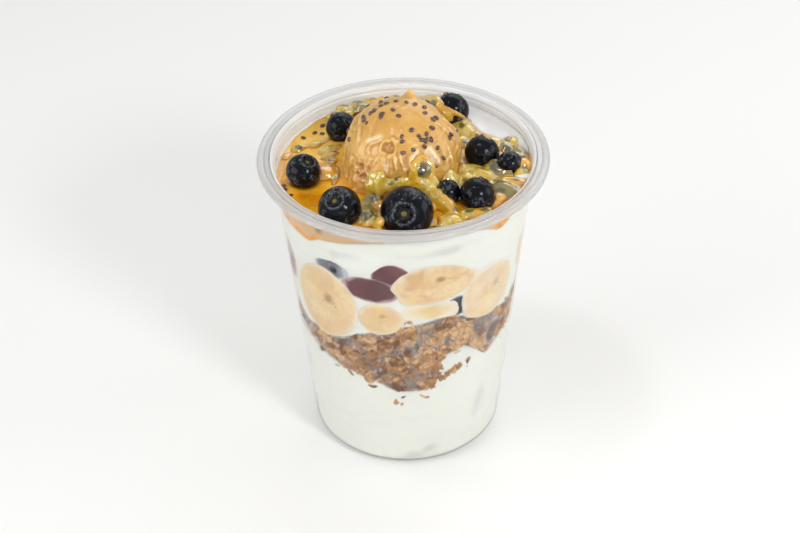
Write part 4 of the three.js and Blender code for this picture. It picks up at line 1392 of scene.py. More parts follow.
class PARFAIT_OT_granola(bpy.types.Operator):
    """Make the granola: a dark core, clumps of baked oats, flakes and crumbs"""

    bl_idname = "parfait.granola"
    bl_label = "Granola"

    def execute(self, context):
        filling = context.scene.parfait_filling
        degrees = np.linspace(-180, 180, 300, endpoint=False)
        low, high = edge_height(GRANOLA_BOTTOM, degrees), granola_top(degrees)

        def reach(spots):
            lumps = uneven(spots, 4.5, 2) * 0.9 + uneven(spots, 1.8, 3) * 0.5
            covered = 1 - ease(spots[..., 2] - low - tongue_height(degrees), -1, 1)
            return np.minimum(lumps - 1.1, 0.05) - 1.2 * covered * (tongue_height(degrees) > 1)

        wall = wall_rings(low, high, degrees, 40, reach)
        rings = [(0, GRANOLA_BOTTOM["middle"]), *face_rings(GRANOLA_BOTTOM, degrees), *wall,
                 *face_rings(GRANOLA_TOP, degrees)[::-1], (0, GRANOLA_TOP["middle"])]
        dark = granola_finish(filling, "granola_core", False)
        core, _ = turned_piece("granola_core", rings, degrees, dark)
        hand_over(core, "granola", "granola")
        random = np.random.default_rng(4)
        toasted = granola_finish(filling, "granola_oats", True)
        lumps, oats = clump_spots(random, clump_centres(random, filling.clumps))
        bits, _ = clump_spots(random, SHOWN_BITS, 0.1)
        loose = []
        while len(loose) < filling.crumbs:
            at, z = random.uniform(-180, 180), random.uniform(33, 63)
            if in_granola(at, z, random.choice([0.8, -0.6, -1.8])):
                flake = random.random() < 0.4
                size = (LOOSE_OAT if flake else CRUMB) * random.uniform(0.6, 1.1)
                turn = wall_turn(random, at, 0.7)
                (oats if flake else loose).append((at_wall(at, z, random.uniform(0, 1.2)), turn, size,
                                                   random.integers(3), random.random()))
        kinds = [lump(seed, 0.28, 0.25) for seed in range(3)]
        self.lay("granola_clumps", kinds, lumps + bits, toasted, 0.5)
        self.lay("granola_oats", [oat_flake(seed) for seed in range(3)], oats, toasted, 0.4)
        self.lay("granola_crumbs", [lump(seed, 0.35, 0.5) for seed in range(3)], loose, toasted, 0.2)
        return {"FINISHED"}

    def lay(self, name, kinds, spots, finish, unevenness):
        """Makes a piece of many bits, kept inside the wall."""
        piece = keep_inside(scatter(name, kinds, spots, finish, unevenness), GRANOLA_REACH)
        hand_over(piece, "granola", "granola")


def corners(name, angle):
    """The outline of a slice as a share of its oval, in each direction from its middle."""
    share = 1 + 0 * angle
    for direction, size in CORNERS.get(name, []):
        away = half_turn(np.degrees(angle) - direction)
        share = share + size * hump(away, 17)
    return share


def haze(name, points):
    """How much cream hazes each point of a fruit: all along its outline, and some of it elsewhere."""
    gap = outline_distance(name, points) + 0.5 * uneven(points, 2.6, 31)
    over = HAZE.get(name, LEAST_HAZE) * (1 + 0.6 * uneven(points, 4, 32))
    if name == "blueberry_wall_left":
        over *= ease(np.linalg.norm(points - at_wall(*DARK_SPOT), axis=1), 0.9, 1.9)
    fade = -2.0 if "banana" in name else -1.0
    return np.clip(over + 0.6 * ease(gap, fade, 0.2), 0, 1)


def outline_distance(name, points):
    """How far each point lies outside a fruit's outline on the wall, less than 0 inside it."""
    if name == "banana_slice_flat":
        at, middle = FLAT_SLICE["at"], FLAT_SLICE["z"]
        half, tilt = (8.5, SLICE_THICKNESS / 2), -FLAT_SLICE["tilt"]
    elif name in WALL_SLICES:
        at, middle, size, tilt = WALL_SLICES[name]
        half = size[0] / 2, size[1] / 2
    else:
        at, middle, (wide, tall, deep), tilt, depth = WALL_WHOLE[name]
        part = np.sqrt(1 - (2 * depth / deep) ** 2)
        half = wide / 2 * part, tall / 2 * part
    u = np.radians(half_turn(place_round(points) - at)) * inner_radius(middle)
    v = points[:, 2] - middle
    cos, sin = np.cos(np.radians(tilt)), np.sin(np.radians(tilt))
    across, along = (u * cos + v * sin) / half[0], (v * cos - u * sin) / half[1]
    return (np.hypot(across, along) / corners(name, np.arctan2(along, across)) - 1) * min(half)


def tuck(name, points):
    """Moves the points of a fruit in from the wall where a fruit in front of it lies."""
    r = from_axis(points)
    depth = inner_radius(points[:, 2]) - r
    push = np.zeros(len(points))
    for other in FRONT_TO_BACK[: FRONT_TO_BACK.index(name)]:
        gap = outline_distance(other, points)
        push = np.maximum(push, TUCK_DEPTH * (1 - ease(gap, -1.0, -0.1)))
    push *= 1 - ease(depth, 1.5, 4)
    points[:, :2] *= ((r - push) / r)[:, None]
    return points


def slice_piece(name, reach, finish):
    """A round slice whose face lies against the wall and bends with it."""
    at, middle, (wide, tall), tilt = WALL_SLICES[name]
    columns = 96
    thick = SLICE_THICKNESS + 0.3
    profile = [(s, -reach) for s in (0.1, 0.22, 0.34, 0.46, 0.58, 0.7, 0.8, 0.88, 0.93)]
    profile += [(0.965, -reach + 0.12), (0.985, -reach + 0.42), (0.997, 0.9), (1, 1.8), (1, thick - 1.2)]
    profile += [(0.98, thick - 0.4), (0.93, thick), (0.6, thick), (0.3, thick)]
    share, depth, angle = spun(profile, columns)
    ring = np.stack([np.cos(angle), np.sin(angle), 0 * angle + at], -1)
    lobe = corners(name, angle) + 0.02 * np.cos(3 * angle) + 0.018 * uneven(ring, 0.7, 6)
    across, along = share * np.cos(angle), share * np.sin(angle)
    cos, sin = np.cos(np.radians(tilt)), np.sin(np.radians(tilt))
    x, y = across * lobe * wide / 2, along * lobe * tall / 2
    u, v = x * cos - y * sin, x * sin + y * cos
    points = tuck(name, at_wall(at + np.degrees(u / inner_radius(middle)), middle + v, depth))
    piece = new_piece(name + "_flesh", points, closed_faces(len(profile), columns), finish)
    tag(piece, "haze", haze(name, points))
    # The centre slice gets more bruise-coloured patches, so that it is darker than the others
    tag(piece, "ripe", np.full(len(points), 0.55 if name == "banana_slice_centre" else 0))
    map_face(piece, across, along)
    hand_over(piece, "banana", name)


def pressed(points, reach):
    """Presses points in from the wall, up to a reach into it."""
    most = inner_radius(points[:, 2]) + reach
    points[:, :2] *= np.minimum(1, most / from_axis(points))[:, None]
    return points


def keep_inside(piece, reach):
    """Presses a finished piece in from the wall, up to a reach into it, so that it stays a little rounded."""
    points = np.empty(len(piece.data.vertices) * 3)
    piece.data.vertices.foreach_get("co", points)
    points = points.reshape(-1, 3) / MM
    r = from_axis(points)
    over = np.maximum(r - inner_radius(points[:, 2]) + PRESSED_FROM, 0)
    points[:, :2] *= ((r - over + (PRESSED_FROM + reach) * (1 - np.exp(-over / 0.75))) / r)[:, None]
    piece.data.vertices.foreach_set("co", (points * MM).ravel())
    return piece


def flat_slice_piece(name, reach, finish):
    """The slice that lies flat, with its edge pressed against the wall."""
    radius, half = FLAT_SLICE["radius"], SLICE_THICKNESS / 2
    middle = at_wall(FLAT_SLICE["at"], FLAT_SLICE["z"], radius - FLAT_SLICE["pressed"])
    columns, edge = 120, 0.9
    profile = [(0.4, -half), (0.75, -half), (1 - edge / radius, -half)]
    for a in np.radians(np.arange(-75, 76, 15)):
        profile.append((1 - (edge - edge * np.cos(a)) / radius, np.sin(a) * half))
    profile += [(1 - edge / radius, half), (0.75, half), (0.4, half)]
    share, level, angle = spun(profile, columns)
    local = np.stack([share * radius * np.cos(angle), share * radius * np.sin(angle), level], -1)
    lean = Euler((0, np.radians(FLAT_SLICE["tilt"]), 0)).to_matrix()
    points = tuck(name, pressed(rotated(local, about_axis(FLAT_SLICE["at"]) @ lean) + middle, reach))
    piece = new_piece(name + "_flesh", points, closed_faces(len(profile), columns), finish)
    tag(piece, "haze", haze(name, points))
    map_face(piece, share * np.cos(angle), share * np.sin(angle))
    hand_over(piece, "banana", name)


def whole_piece(name, reach, finish, slot, *nodes):
    """A grape or a berry pressed against the wall."""
    at, z, (wide, tall, deep), tilt, depth = WALL_WHOLE[name]
    unit, faces = ball("wall_fruit")
    size = np.array([wide, deep, tall]) / 2
    points = unit * size * (1 + 0.02 * uneven(unit, 0.8, at))[:, None]
    spin = about_axis(at) @ Euler((0, np.radians(-tilt), 0)).to_matrix()
    points = tuck(name, pressed(rotated(points, spin) + at_wall(at, z, depth), reach))
    piece = new_piece(name + "_skin", points, faces, finish)
    tag(piece, "crown", np.full(len(points), np.pi))
    tag(piece, "haze", haze(name, points))
    hand_over(piece, slot, *nodes)


class PARFAIT_OT_wall_fruit(bpy.types.Operator):
    """Make the banana slices, grapes and blueberries that show through the wall"""

    bl_idname = "parfait.wall_fruit"
    bl_label = "Fruit at the wall"

    def execute(self, context):
        filling = context.scene.parfait_filling
        flesh = banana_finish(filling)
        grape = grape_finish("grape_skin", filling.grape, (0.175, 0.044, 0.055))
        dried = grape_finish("dried_skin", (0.13, 0.085, 0.06), (0.27, 0.20, 0.15))
        skin = berry_finish(context.scene.parfait_topping)
        for place, name in enumerate(FRONT_TO_BACK):
            reach = FRONT_REACH - REACH_STEP * place
            if name == "banana_slice_flat":
                flat_slice_piece(name, reach, flesh)
            elif name in WALL_SLICES:
                slice_piece(name, reach, flesh)
            elif name == "dried_berry":
                whole_piece(name, reach, dried, "granola")
            elif name.startswith("grape"):
                whole_piece(name, reach, grape, "grape", name)
            else:
                whole_piece(name, reach, skin, "blueberry", name)
        return {"FINISHED"}


# The radius of the pool of pulp
POOL_RADIUS = inner_radius(PULP_TOP["middle"])


def berry_gaps(x, y):
    """How far places on the pool lie from the nearest topping: a berry or the scoop."""
    gaps = [np.hypot(x - SCOOP_CENTRE[0], y - SCOOP_CENTRE[1]) - SCOOP_RADIUS + 0.4]
    for centre, radius, _ in TOP_BERRIES.values():
        sunk = centre[2] - PULP_TOP["middle"]
        gaps.append(np.hypot(x - centre[0], y - centre[1]) - np.sqrt(radius**2 - sunk**2))
    return gaps


def pool_level(x, y):
    """The height of the pool, which climbs a little where it meets the toppings and the wall."""
    r = np.hypot(x, y)
    spots = np.stack([x, y, 0 * x], axis=-1)
    level = height(PULP_TOP, np.minimum(r / POOL_RADIUS, 1), place_round(spots))
    level = level + 0.4 * uneven(spots, 7.5, 3) + 0.16 * uneven(spots, 2.8, 4)
    for gap in berry_gaps(x, y):
        level = level + 0.7 * np.exp(-np.abs(gap) / 1.1)
    return level + 0.6 * np.exp(-np.abs(POOL_RADIUS - r) / 0.8)


def over_pool(points):
    """How far each point stands over the pool."""
    return points[:, 2] - pool_level(points[:, 0], points[:, 1])


def bank_level(x, y):
    """The height of the yogurt under the pool, which banks up over it against the wall."""
    spots = np.stack([x, y, 0 * x], axis=-1)
    inside = POOL_RADIUS - np.hypot(x, y)
    width = edge_line(YOGURT_BANK, place_round(spots)) * (1 + 0.12 * uneven(spots, 4, 41))
    over = ease(width - inside, -0.4, 1.6) * ease(width, 0.2, 1)
    swell = 1.25 + 0.8 * (1 - ease(inside, 0, 3)) + 0.1 * uneven(spots, 5, 42)
    return pool_level(x, y) - 0.7 + over * swell


class PARFAIT_OT_pulp(bpy.types.Operator):
    """Make the pool of passion fruit pulp"""

    bl_idname = "parfait.pulp"
    bl_label = "Pulp"

    def execute(self, context):
        topping = context.scene.parfait_topping
        degrees = np.linspace(-180, 180, 360, endpoint=False)
        low = edge_line(PULP_EDGE, degrees) - 0.25 + 0.3 * uneven(at_wall(degrees, 97 + 0 * degrees), 3, 8)
        top = pool_level(*on_circle(POOL_RADIUS, degrees))
        wall = wall_rings(low, top, degrees, 12, lambda spots: POOL_REACH + 0 * spots[..., 0])
        below = [(r, z - POOL_OVERLAP) for r, z in face_rings(YOGURT_TOP, degrees, (0.4, 0.8, 0.95))]
        above = level_rings(pool_level, np.linspace(0.995, 0.03, 72) * POOL_RADIUS, degrees)
        rings = [(0, YOGURT_TOP["middle"] - POOL_OVERLAP), *below, *wall, *above, (0, PULP_TOP["middle"])]
        piece, points = turned_piece("pulp_pool", rings, degrees, juice_finish(topping))
        tag(piece, "veil", self.rim_shade_amount(points))
        # Darker round each berry on top, where it shows through the juice, with painted contact shade; and a
        # dark spot by the wall
        distances = [np.linalg.norm(points - centre, axis=1) - radius
                     for centre, radius, _ in TOP_BERRIES.values()]
        spot = 0.7 * hump(np.linalg.norm(points - at_wall(*JUICE_SPOT), axis=1), 1.5)
        tag(piece, "shade", np.maximum(0.7 * np.exp(-np.maximum(np.min(distances, axis=0), 0) / 0.7), spot))
        hand_over(piece, "fruit_pulp", "passion_fruit_pulp")
        self.make_bank(context, degrees)
        return {"FINISHED"}

    def rim_shade_amount(self, points):
        """How much painted shade under the rim greys each point of the pool against the wall at the front."""
        at, out = place_round(points), from_axis(points)
        at_glass = ease(out - inner_radius(points[:, 2]), -3, -2.5) * ease(-over_pool(points), 0.2, 0.6)
        over = points[:, 2] - edge_line(PULP_EDGE, at) + 0.5 * uneven(points, 3, 36)
        return at_glass * np.maximum(ease(over, 1.2, 2.6), ease(at, -46, -38)) * ease(48 - at, 0, 8)

    def make_bank(self, context, degrees):
        """Makes the yogurt that banks up against the wall over the pool."""
        rim = POOL_RADIUS - 0.05
        heights = level_rings(bank_level, np.linspace(1, 0.55, 44) * rim, degrees)
        under = level_rings(bank_level, np.array([0.55, 0.8, 0.97]) * rim, degrees)
        under = [(r, z - sunk) for (r, z), sunk in zip(under, (1.4, 1.4, 1.2))]
        rings = [(0, 98.5), *under, *heights, (0, 98.9)]
        cream = yogurt_finish(context.scene.parfait_filling)
        bank, points = turned_piece("yogurt_bank", rings, degrees, cream)
        tag(bank, "stain", 0.8 * (1 - ease(over_pool(points) + 0.1 * uneven(points, 2.5, 43), -0.1, 0.3)))
        hand_over(bank, "yogurt", "yogurt_top")


def scoop_direction(pixel):
    """The direction from the scoop's middle to where the camera sees its ball at a pixel."""
    start, way = sight(pixel)
    to = np.array(start) - SCOOP_CENTRE
    way = np.array(way)
    half = to @ way
    reach = -half - np.sqrt(max(half**2 - to @ to + SCOOP_RADIUS**2, 0))
    out = to + way * reach
    return out / np.linalg.norm(out)


def from_pixel(directions, pixel):
    """How far each direction lies over the scoop from where a pixel is seen, in millimetres."""
    return np.linalg.norm(directions - scoop_direction(pixel), axis=1) * SCOOP_RADIUS


def stroke(directions, start, end, soft, sharp):
    """A mark of the spoon over the scoop between two pixels, from 0 to 1. It fades over a soft width on the
    left of its way and over a sharp one on its right."""
    a, b = scoop_direction(start), scoop_direction(end)
    side = np.cross(a, b) / np.linalg.norm(np.cross(a, b))
    along = (directions - a) @ (b - a) / ((b - a) @ (b - a))
    across = directions @ side * SCOOP_RADIUS + 0.25 * uneven(directions, 0.06, 33)
    width = np.where(across > 0, soft, sharp)
    ends = ease(along, -0.12, 0.18) * (1 - ease(along, 0.8, 1.12)) * (directions @ a > 0.5)
    return hump(across, width) * ends


def standing_out(relief):
    """How far the scoop's relief stands out from its soft copy, at each point."""
    grid = relief[1:-1].reshape(FINE["scoop"][::-1])
    soft = grid
    for step in (1, 2, 3):
        above = np.pad(soft, ((step, step), (0, 0)), mode="edge")
        beside = np.roll(soft, step, axis=1) + np.roll(soft, -step, axis=1)
        soft = (soft + beside + above[: -2 * step] + above[2 * step:]) / 5
    return np.concatenate([[0], (grid - soft).ravel(), [0]])


class PARFAIT_OT_scoop(bpy.types.Operator):
    """Make the scoop of peanut butter with its spoon marks and pulled peak"""

    bl_idname = "parfait.scoop"
    bl_label = "Scoop"

    def execute(self, context):
        unit, faces = ball("scoop")
        turn, up = np.arctan2(unit[:, 1], unit[:, 0]), unit[:, 2]
        relief = 0.35 * np.sin(5 * turn + 4 * up) * (1 - up * up) + 0.25 * np.sin(9 * up + turn)
        relief += 0.35 * uneven(unit, 0.35, 2) + 0.14 * uneven(unit * (1, 1, 2.2), 0.11, 3)
        drawn = np.stack([np.cos(turn), np.sin(turn), 0.3 * up], -1)
        low = 1 - ease(up, 0.5, 0.8)
        strokes = ease(uneven(unit, 0.5, 12), -0.4, 0.4) * low
        relief += strokes * (0.25 * uneven(drawn, 0.11, 21) + 0.12 * uneven(drawn, 0.045, 22))
        fold = uneven(unit, 0.24, 23)
        broken = low * ease(uneven(unit, 0.33, 24), -0.1, 0.5)
        relief += 0.4 * broken * (ease(fold, 0.0, 0.09) - ease(fold, 0.09, 0.7))
        peak = np.linalg.norm(unit - PEAK_AT, axis=1)
        relief += PEAK_HEIGHT * np.exp(-((peak / 0.1) ** 1.6)) + 0.4 * hump(peak, 0.35)
        for start, end, soft, sharp, tall in SPOON_MARKS:
            relief += 1.6 * tall * stroke(unit, start, end, soft, sharp)
        crater = from_pixel(unit, CRATER_PIXEL) / 2.3 * (1 + 0.35 * uneven(unit, 0.09, 5))
        rim = hump(crater - 1.1, 0.2) * (0.6 + 1.1 * uneven(unit, 0.13, 6))
        relief += 0.9 * rim - 1.1 * (1 - ease(crater, 0.55, 1.05)) * (1 + 0.5 * uneven(unit, 0.05, 8))
        crumble = 1 - ease(from_pixel(unit, CRUMBLE_PIXEL), 1.8, 4.8)
        relief += crumble * (0.9 * uneven(unit, 0.075, 7) + 0.5 * uneven(unit, 0.035, 8) - 0.2)
        relief += 2.2 * hump(from_pixel(unit, FOOT_PIXEL), 5.0) * (0.8 + 0.6 * uneven(unit, 0.1, 9))
        points = unit * (SCOOP_RADIUS + relief)[:, None] + SCOOP_CENTRE
        points[:, 2] = np.maximum(points[:, 2], SCOOP_BOTTOM)
        piece = new_piece("scoop_ball", points, faces, butter_finish(context.scene.parfait_topping))
        # Painted shade inside the crater, given the crumbled colour
        hollow = (1 - ease(crater, 0.5, 0.95)) * 0.8
        tag(piece, "crumble", np.maximum(crumble * ease(uneven(unit, 0.06, 34), -0.6, 0.4), hollow))
        # How far the relief stands out, for painted crease shade and painted ridge light
        tag(piece, "ridge", np.clip(standing_out(relief) / 0.22, -1, 1))
        # Painted highlight: pale strokes along the sheen strokes
        tag(piece, "pale", np.max([stroke(unit, *ends, width, width) for *ends, width in SHEEN_STROKES], axis=0))
        tag(piece, "wet", (1 - ease(over_pool(points), 0.3, 4)) * ease(uneven(points, 4.5, 11), -0.55, 0.5))
        hand_over(piece, "peanut_butter", "peanut_butter_scoop")
        return {"FINISHED"}


def berry_points(radius, seed):
    """A blueberry with its crown up: a flattened ball, and a ragged five-pointed ring round a dish."""
    unit, faces = ball("berry")
    turn, polar = np.arctan2(unit[:, 1], unit[:, 0]), np.arccos(np.clip(unit[:, 2], -1, 1))
    star = 0.40 + 0.035 * np.cos(5 * turn + seed) + 0.02 * uneven(unit, 0.12, seed)
    lip = (0.075 + 0.03 * np.cos(5 * turn + seed)) * hump(polar - star, 0.06)
    dish = -0.15 * (1 - ease(polar, star - 0.17, star - 0.02))
    dents = 0.02 * uneven(unit, 0.7, seed + 3)
    grow = 1 + lip + dish + 0.05 * hump(polar, 0.08) + dents
    return unit * grow[:, None] * (1, 1, 0.93) * radius, faces, polar


class PARFAIT_OT_berries(bpy.types.Operator):
    """Make the blueberries on top"""

    bl_idname = "parfait.berries"
    bl_label = "Blueberries on top"

    def execute(self, context):
        finish = berry_finish(context.scene.parfait_topping)
        for seed, (name, (centre, radius, face)) in enumerate(TOP_BERRIES.items()):
            points, faces, polar = berry_points(radius * 0.98, seed)
            turn = Vector(face).to_track_quat("Z", "Y").to_matrix()
            piece = new_piece(name + "_skin", rotated(points, turn) + centre, faces, finish)
            tag(piece, "crown", polar)
            hand_over(piece, "blueberry", name)
        return {"FINISHED"}


def sac_kinds():
    """Three kinds of unit sac: a drop, a bean and a leaf."""
    kinds = []
    for taper, bend, flat in [(0.35, 0.1, 1), (0.12, 0.3, 0.9), (0.5, -0.15, 0.7)]:
        points, faces = ball("sac")
        x, y, z = points.T
        thin = 1 - taper * x - 0.12 * uneven(points, 0.9, bend * 10)
        kinds.append((np.stack([x, y * thin, z * thin * flat - bend * x * x], -1), faces))
    return kinds


def sac_between(start, end, normal, width, tone, kind):
    """The spot of a sac that lies on a surface between two places."""
    along = (end - start).normalized()
    across = normal.cross(along).normalized()
    axes = Matrix((along, across, along.cross(across))).transposed()
    size = ((end - start).length / 2 + width * 0.14, width / 2, width * 0.34)
    return ((start + end) / 2, tuple(axes.to_euler()), size, kind, tone)


def sac_on(surface, start, end, width, lift, tone, kind):
    """The spot of a sac that the camera sees on a surface between two pixels. Where one end is seen on
    something that stands much higher, the sac lies at the lower level and passes behind it."""
    (a, up), (b, other) = seen_on(surface, start), seen_on(surface, end)
    if abs(a.z - b.z) > 0.42 * abs(start[1] - end[1]) + 2.6:
        low = min(a.z, b.z)
        a, b = at_level(start, low), at_level(end, low)
        up = other = UP
    a, b = a + up * lift * 0.6, b + other * lift * 0.6
    return sac_between(a, b, (up + other).normalized(), width, tone, kind)


def pit_on(surface, start, end, width, tone):
    """The spot of a seed just under the surface of the pulp, where the camera sees it between two pixels."""
    middle = [(a + b) / 2 for a, b in zip(start, end)]
    place, normal = seen_on(surface, middle)
    along = Vector(sight(end)[1]) - Vector(sight(start)[1])
    along = (along - normal * along.dot(normal)).normalized()
    half = along * np.hypot(end[0] - start[0], end[1] - start[1]) / PIXELS_PER_MM / 2 * 1.2
    inner = place - normal * (width * 0.34 + 0.05)
    return sac_between(inner - half, inner + half, normal, width, tone, 0)


def at_level(pixel, level):
    """The place where the camera's sight through a pixel meets a height, kept clear of the wall."""
    start, way = sight(pixel)
    place = start + way * ((level - start.z) / way.z)
    most = inner_radius(level) - 1.6
    flat = min(1, most / np.hypot(place.x, place.y))
    return Vector((place.x * flat, place.y * flat, level))


def loose_sacs(surface, random, count):
    """Spots for more sacs where the pool is free, most of them at the back and the right."""
    spots, taken = [], []
    while len(spots) < count:
        degrees, reach = random.uniform(-180, 180), random.uniform(21, 40)
        x, y = on_circle(reach, degrees)
        sparse = -160 < degrees < -20
        crowded = any(np.hypot(x - a, y - b) < 4.2 for a, b in taken)
        if sparse or crowded or min(berry_gaps(x, y)) < 0.8:
            continue
        place, normal, _, _ = surface.ray_cast(Vector((x, y, OVER_ALL)), -UP)
        if place is None or place.z > 103 or bank_level(x, y) > place.z - 0.4:
            continue
        taken.append((x, y))
        heading = random.uniform(0, 2 * np.pi)
        half = Vector((np.cos(heading), np.sin(heading), random.uniform(-0.2, 0.3)))
        half *= random.uniform(2.2, 3.6)
        middle = place + normal * 0.4
        spots.append(sac_between(middle - half, middle + half, normal, random.uniform(4, 5.6),
                                 random.random() ** 1.5, random.integers(3)))
    return spots


def covered(points, spots):
    """How far each point lies over a seed inside the pulp: 1 over its middle, 0 beside it."""
    cover = np.zeros(len(points))
    for place, turn, size, _, _ in spots:
        local = (points - np.array(place)) @ np.array(Euler(turn).to_matrix())
        flat = np.hypot(local[:, 0] / size[0], local[:, 1] / size[1])
        cover = np.maximum(cover, (1 - ease(flat, 0.65, 1.2)) * (np.abs(local[:, 2]) < 3))
    return cover


def strand_spots(surface):
    """Spots for the strands: round beads so close that they merge."""
    spots = []
    for pixels, widths, first, last, lift in STRANDS.values():
        knots = strand_knots(surface, pixels, [width * lift for width in widths])
        for step in np.linspace(0, len(knots) - 1, 9 * len(knots)):
            width = float(np.interp(step, range(len(widths)), widths))
            tone = first + (last - first) * step / (len(knots) - 1)
            spots.append((spline(knots, step), (0, 0, 0), np.full(3, width), 3, tone))
    return spots


def strand_knots(surface, pixels, lifts):
    """Places over a surface where the camera sees a strand. Where it leaves one thing for another far behind
    it, the strand bridges the gap."""
    eye = sight(pixels[0])[0]
    ways = [sight(pixel)[1] for pixel in pixels]
    seen = [seen_on(surface, pixel) for pixel in pixels]
    depths = [(place + normal * lift - eye).length for (place, normal), lift in zip(seen, lifts)]
    steps = list(range(1, len(pixels)))
    for here, before in [(i, i - 1) for i in steps] + [(i - 1, i) for i in reversed(steps)]:
        beside = np.hypot(*np.subtract(pixels[here], pixels[before])) / PIXELS_PER_MM
        depths[here] = min(depths[here], depths[before] + 1.5 * beside + 0.4)
    return [np.array(eye + way * depth) for way, depth in zip(ways, depths)]


def spline(knots, step):
    """A place on a smooth curve through knots."""
    last = len(knots) - 1
    i = min(int(step), last - 1)
    return curve(*(knots[min(max(i + k, 0), last)] for k in (-1, 0, 1, 2)), step - i)


class PARFAIT_OT_sacs(bpy.types.Operator):
    """Make the sacs and strands of pulp, merged where they touch, with the seeds inside them"""

    bl_idname = "parfait.sacs"
    bl_label = "Sacs of pulp"

    def execute(self, context):
        topping = context.scene.parfait_topping
        surface = surface_of("pulp_pool", "scoop_ball", *(name + "_skin" for name in TOP_BERRIES))
        random = np.random.default_rng(12)
        spots = [sac_on(surface, *sac, number % 3) for number, sac in enumerate(SACS)]
        for number, (start, end, width, tone) in enumerate(BACK_SACS):
            ends = [at_level(pixel, BACK_LEVEL) for pixel in (start, end)]
            spots.append(sac_between(*ends, UP, width, tone, number % 3))
        spots += loose_sacs(surface, random, topping.sacs)
        skirts = [(place - UP * 0.45, turn, np.array(size) * (1.25, 1.4, 0.5), 3, tone)
                  for place, turn, size, _, tone in spots if place.z < pool_level(place.x, place.y) + 1.6]
        kinds = [*sac_kinds(), ball("bead")]
        gel = gel_finish(topping)
        sacs = scatter("pulp_sacs", kinds, spots + skirts + strand_spots(surface), gel, 0.6)
        piece = join_scene("pulp_gel", sacs.data.copy())
        merge = piece.modifiers.new("Merge", "REMESH")
        merge.mode = "VOXEL"
        merge.voxel_size = topping.detail
        melt_shape().grow(piece, {"Sacs": sacs, "Softness": 6, "Unevenness": 0.0006, "Finish": gel})
        bpy.data.objects.remove(sacs)
        pulp = surface_of("pulp_gel", "pulp_pool", "scoop_ball")
        pits = [pit_on(pulp, *seed, random.random()) for seed in SAC_SEEDS]
        for place, turn, size, _, _ in spots[len(SACS)::2]:
            inner = np.array([min(size[0] * 0.5, 1.7), size[1] * 0.42, size[2] * 0.5])
            pits.append((place, turn, inner, 0, random.random()))
        points = np.array([vertex.co / MM for vertex in piece.data.vertices])
        rise = []
        for point in points:
            near, up, _, _ = surface.find_nearest(Vector(point))
            rise.append((Vector(point) - near).dot(up) / 2.4)
        tag(piece, "rise", np.clip(rise, 0, 1))
        tag(piece, "seed", covered(points, pits))
        hand_over(piece, "fruit_pulp", "passion_fruit_pulp")
        hand_over(scatter("pulp_seeds", [ball("pit")], pits, pit_finish(), 0.2), "fruit_pulp")
        start, end = (seen_on(surface, pixel)[0] for pixel in YOGURT_PATCH)
        patch = [sac_between(start, end, UP, 3.2, 0, 0)]
        cream = yogurt_finish(context.scene.parfait_filling)
        hand_over(scatter("yogurt_patch", [lump(1, 0.12, 0, "patch")], patch, cream, 0.4), "yogurt")
        return {"FINISHED"}


class PARFAIT_OT_seeds(bpy.types.Operator):
    """Make the chia seeds on the scoop, the pool and the wall"""

    bl_idname = "parfait.seeds"
    bl_label = "Chia seeds"

    def execute(self, context):
        random = np.random.default_rng(9)
        ball_surface = surface_of("scoop_ball")
        pool = surface_of("pulp_pool", "scoop_ball", "blueberry_back_right_skin")
        laid = [seen_on(ball_surface, pixel) for pixel in CHIA_PIXELS]
        laid += [seen_on(pool, pixel) for pixel in STRAY_SEEDS]
        for _ in range(context.scene.parfait_topping.seeds):
            degrees, up = random.uniform(70, 290), random.uniform(0.25, 0.95)
            out = Vector((*on_circle(np.sqrt(1 - up * up), degrees), up))
            place, normal, _, _ = ball_surface.ray_cast(Vector(SCOOP_CENTRE) + out * CLEAR_OF_SCOOP, -out)
            laid.append((place, normal))
        spots = []
        for place, normal in laid:
            turn = normal.to_track_quat("Z", "X").to_matrix() @ Matrix.Rotation(random.uniform(0, 6), 3, "Z")
            size = CHIA_SEED * random.uniform(0.8, 1.08)
            spots.append((place + normal * 0.12, tuple(turn.to_euler()), size, 0, random.random()))
        hand_over(scatter("chia_seeds", [ball("chia")], spots, chia_finish()), "peanut_butter")
        return {"FINISHED"}


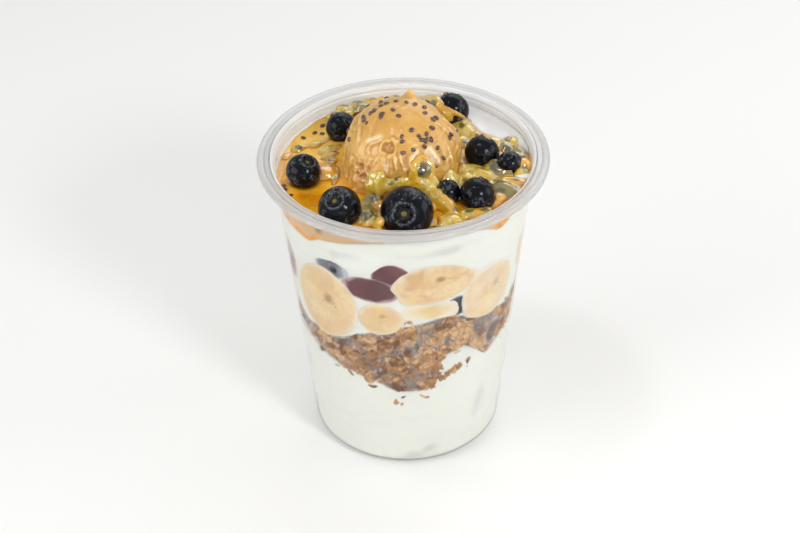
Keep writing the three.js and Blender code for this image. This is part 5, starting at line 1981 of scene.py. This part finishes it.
class PARFAIT_OT_stage(bpy.types.Operator):
    """Make the floor, the soft lights and the camera"""

    bl_idname = "parfait.stage"
    bl_label = "Stage"

    def execute(self, context):
        scene, stage = context.scene, context.scene.parfait_stage
        finish = Finish("pale_floor", {"Roughness": 0.6, "Specular IOR Level": 0.2})
        finish.paint(stage.floor, {"worn": (finish.pattern(6) * 0.08, (0.7, 0.7, 0.7))})
        mesh = bpy.data.meshes.new("floor")
        half = FLOOR_HALF
        mesh.from_pydata([(-half, -half, 0), (half, -half, 0), (half, half, 0), (-half, half, 0)], [],
                         [(0, 1, 2, 3)])
        mesh.materials.append(finish.material)
        floor = join_scene("floor", mesh)
        world = bpy.data.worlds.new("soft_room")
        world.use_nodes = True
        room = world.node_tree.nodes["Background"].inputs
        room["Color"].default_value = (1, 1, 0.99, 1)
        room["Strength"].default_value = ROOM_LIGHT * stage.light
        scene.world = world
        for name, (place, size, power) in LIGHTS.items():
            self.add_light(name, place, size, power * stage.light)
        self.add_camera(scene)
        scene.view_settings.view_transform = "Standard"
        return {"FINISHED"}

    def add_light(self, name, place, size, power):
        """Adds a soft light that faces the parfait."""
        light = bpy.data.lights.new(name, "AREA")
        light.shape = "RECTANGLE"
        light.size, light.size_y = size
        light.energy = power
        lamp = join_scene(name, light)
        lamp.location = place
        lamp.rotation_euler = (LIT_POINT - Vector(place)).to_track_quat("-Z", "Y").to_euler()

    def add_camera(self, scene):
        """Adds the camera where the photo was taken from."""
        place, right, up, back = camera_axes()
        camera = bpy.data.cameras.new("camera")
        camera.sensor_width = SENSOR_WIDTH
        camera.lens = FOCAL_PIXELS / IMAGE_SIZE[0] * SENSOR_WIDTH
        camera.shift_x = (IMAGE_SIZE[0] / 2 - AXIS_PIXEL[0]) / IMAGE_SIZE[0]
        camera.shift_y = (AXIS_PIXEL[1] - IMAGE_SIZE[1] / 2) / IMAGE_SIZE[0]
        camera.clip_start, camera.clip_end = 0.05, 20
        holder = join_scene("camera", camera)
        holder.matrix_world = Matrix.Translation(place * MM) @ Matrix((right, up, back)).transposed().to_4x4()
        scene.camera = holder


class PARFAIT_PT_panel(bpy.types.Panel):
    """Settings and pieces of the parfait"""

    bl_idname = "PARFAIT_PT_panel"
    bl_label = "Parfait"
    bl_space_type = "VIEW_3D"
    bl_region_type = "UI"
    bl_category = "Parfait"

    def draw(self, context):
        for label, settings in SETTINGS.items():
            group = getattr(context.scene, "parfait_" + label)
            box = self.layout.box()
            for name in settings.__annotations__:
                box.prop(group, name)
        for operator in OPERATORS:
            self.layout.operator(operator.bl_idname)


SETTINGS = {
    "cup": CupSettings, "filling": FillingSettings, "topping": ToppingSettings, "stage": StageSettings,
}
OPERATORS = [
    PARFAIT_OT_stage, PARFAIT_OT_cup, PARFAIT_OT_yogurt, PARFAIT_OT_granola, PARFAIT_OT_wall_fruit,
    PARFAIT_OT_pulp, PARFAIT_OT_scoop, PARFAIT_OT_berries, PARFAIT_OT_sacs, PARFAIT_OT_seeds,
]


def register():
    for kind in [*SETTINGS.values(), *OPERATORS, PARFAIT_PT_panel]:
        bpy.utils.register_class(kind)
    for label, settings in SETTINGS.items():
        setattr(bpy.types.Scene, "parfait_" + label, PointerProperty(type=settings))


def unregister():
    for label in SETTINGS:
        delattr(bpy.types.Scene, "parfait_" + label)
    for kind in reversed([*SETTINGS.values(), *OPERATORS, PARFAIT_PT_panel]):
        bpy.utils.unregister_class(kind)


def main():
    """Makes every piece."""
    register()
    for operator in OPERATORS:
        group, name = operator.bl_idname.split(".")
        getattr(getattr(bpy.ops, group), name)()


if __name__ == "__main__":
    main()
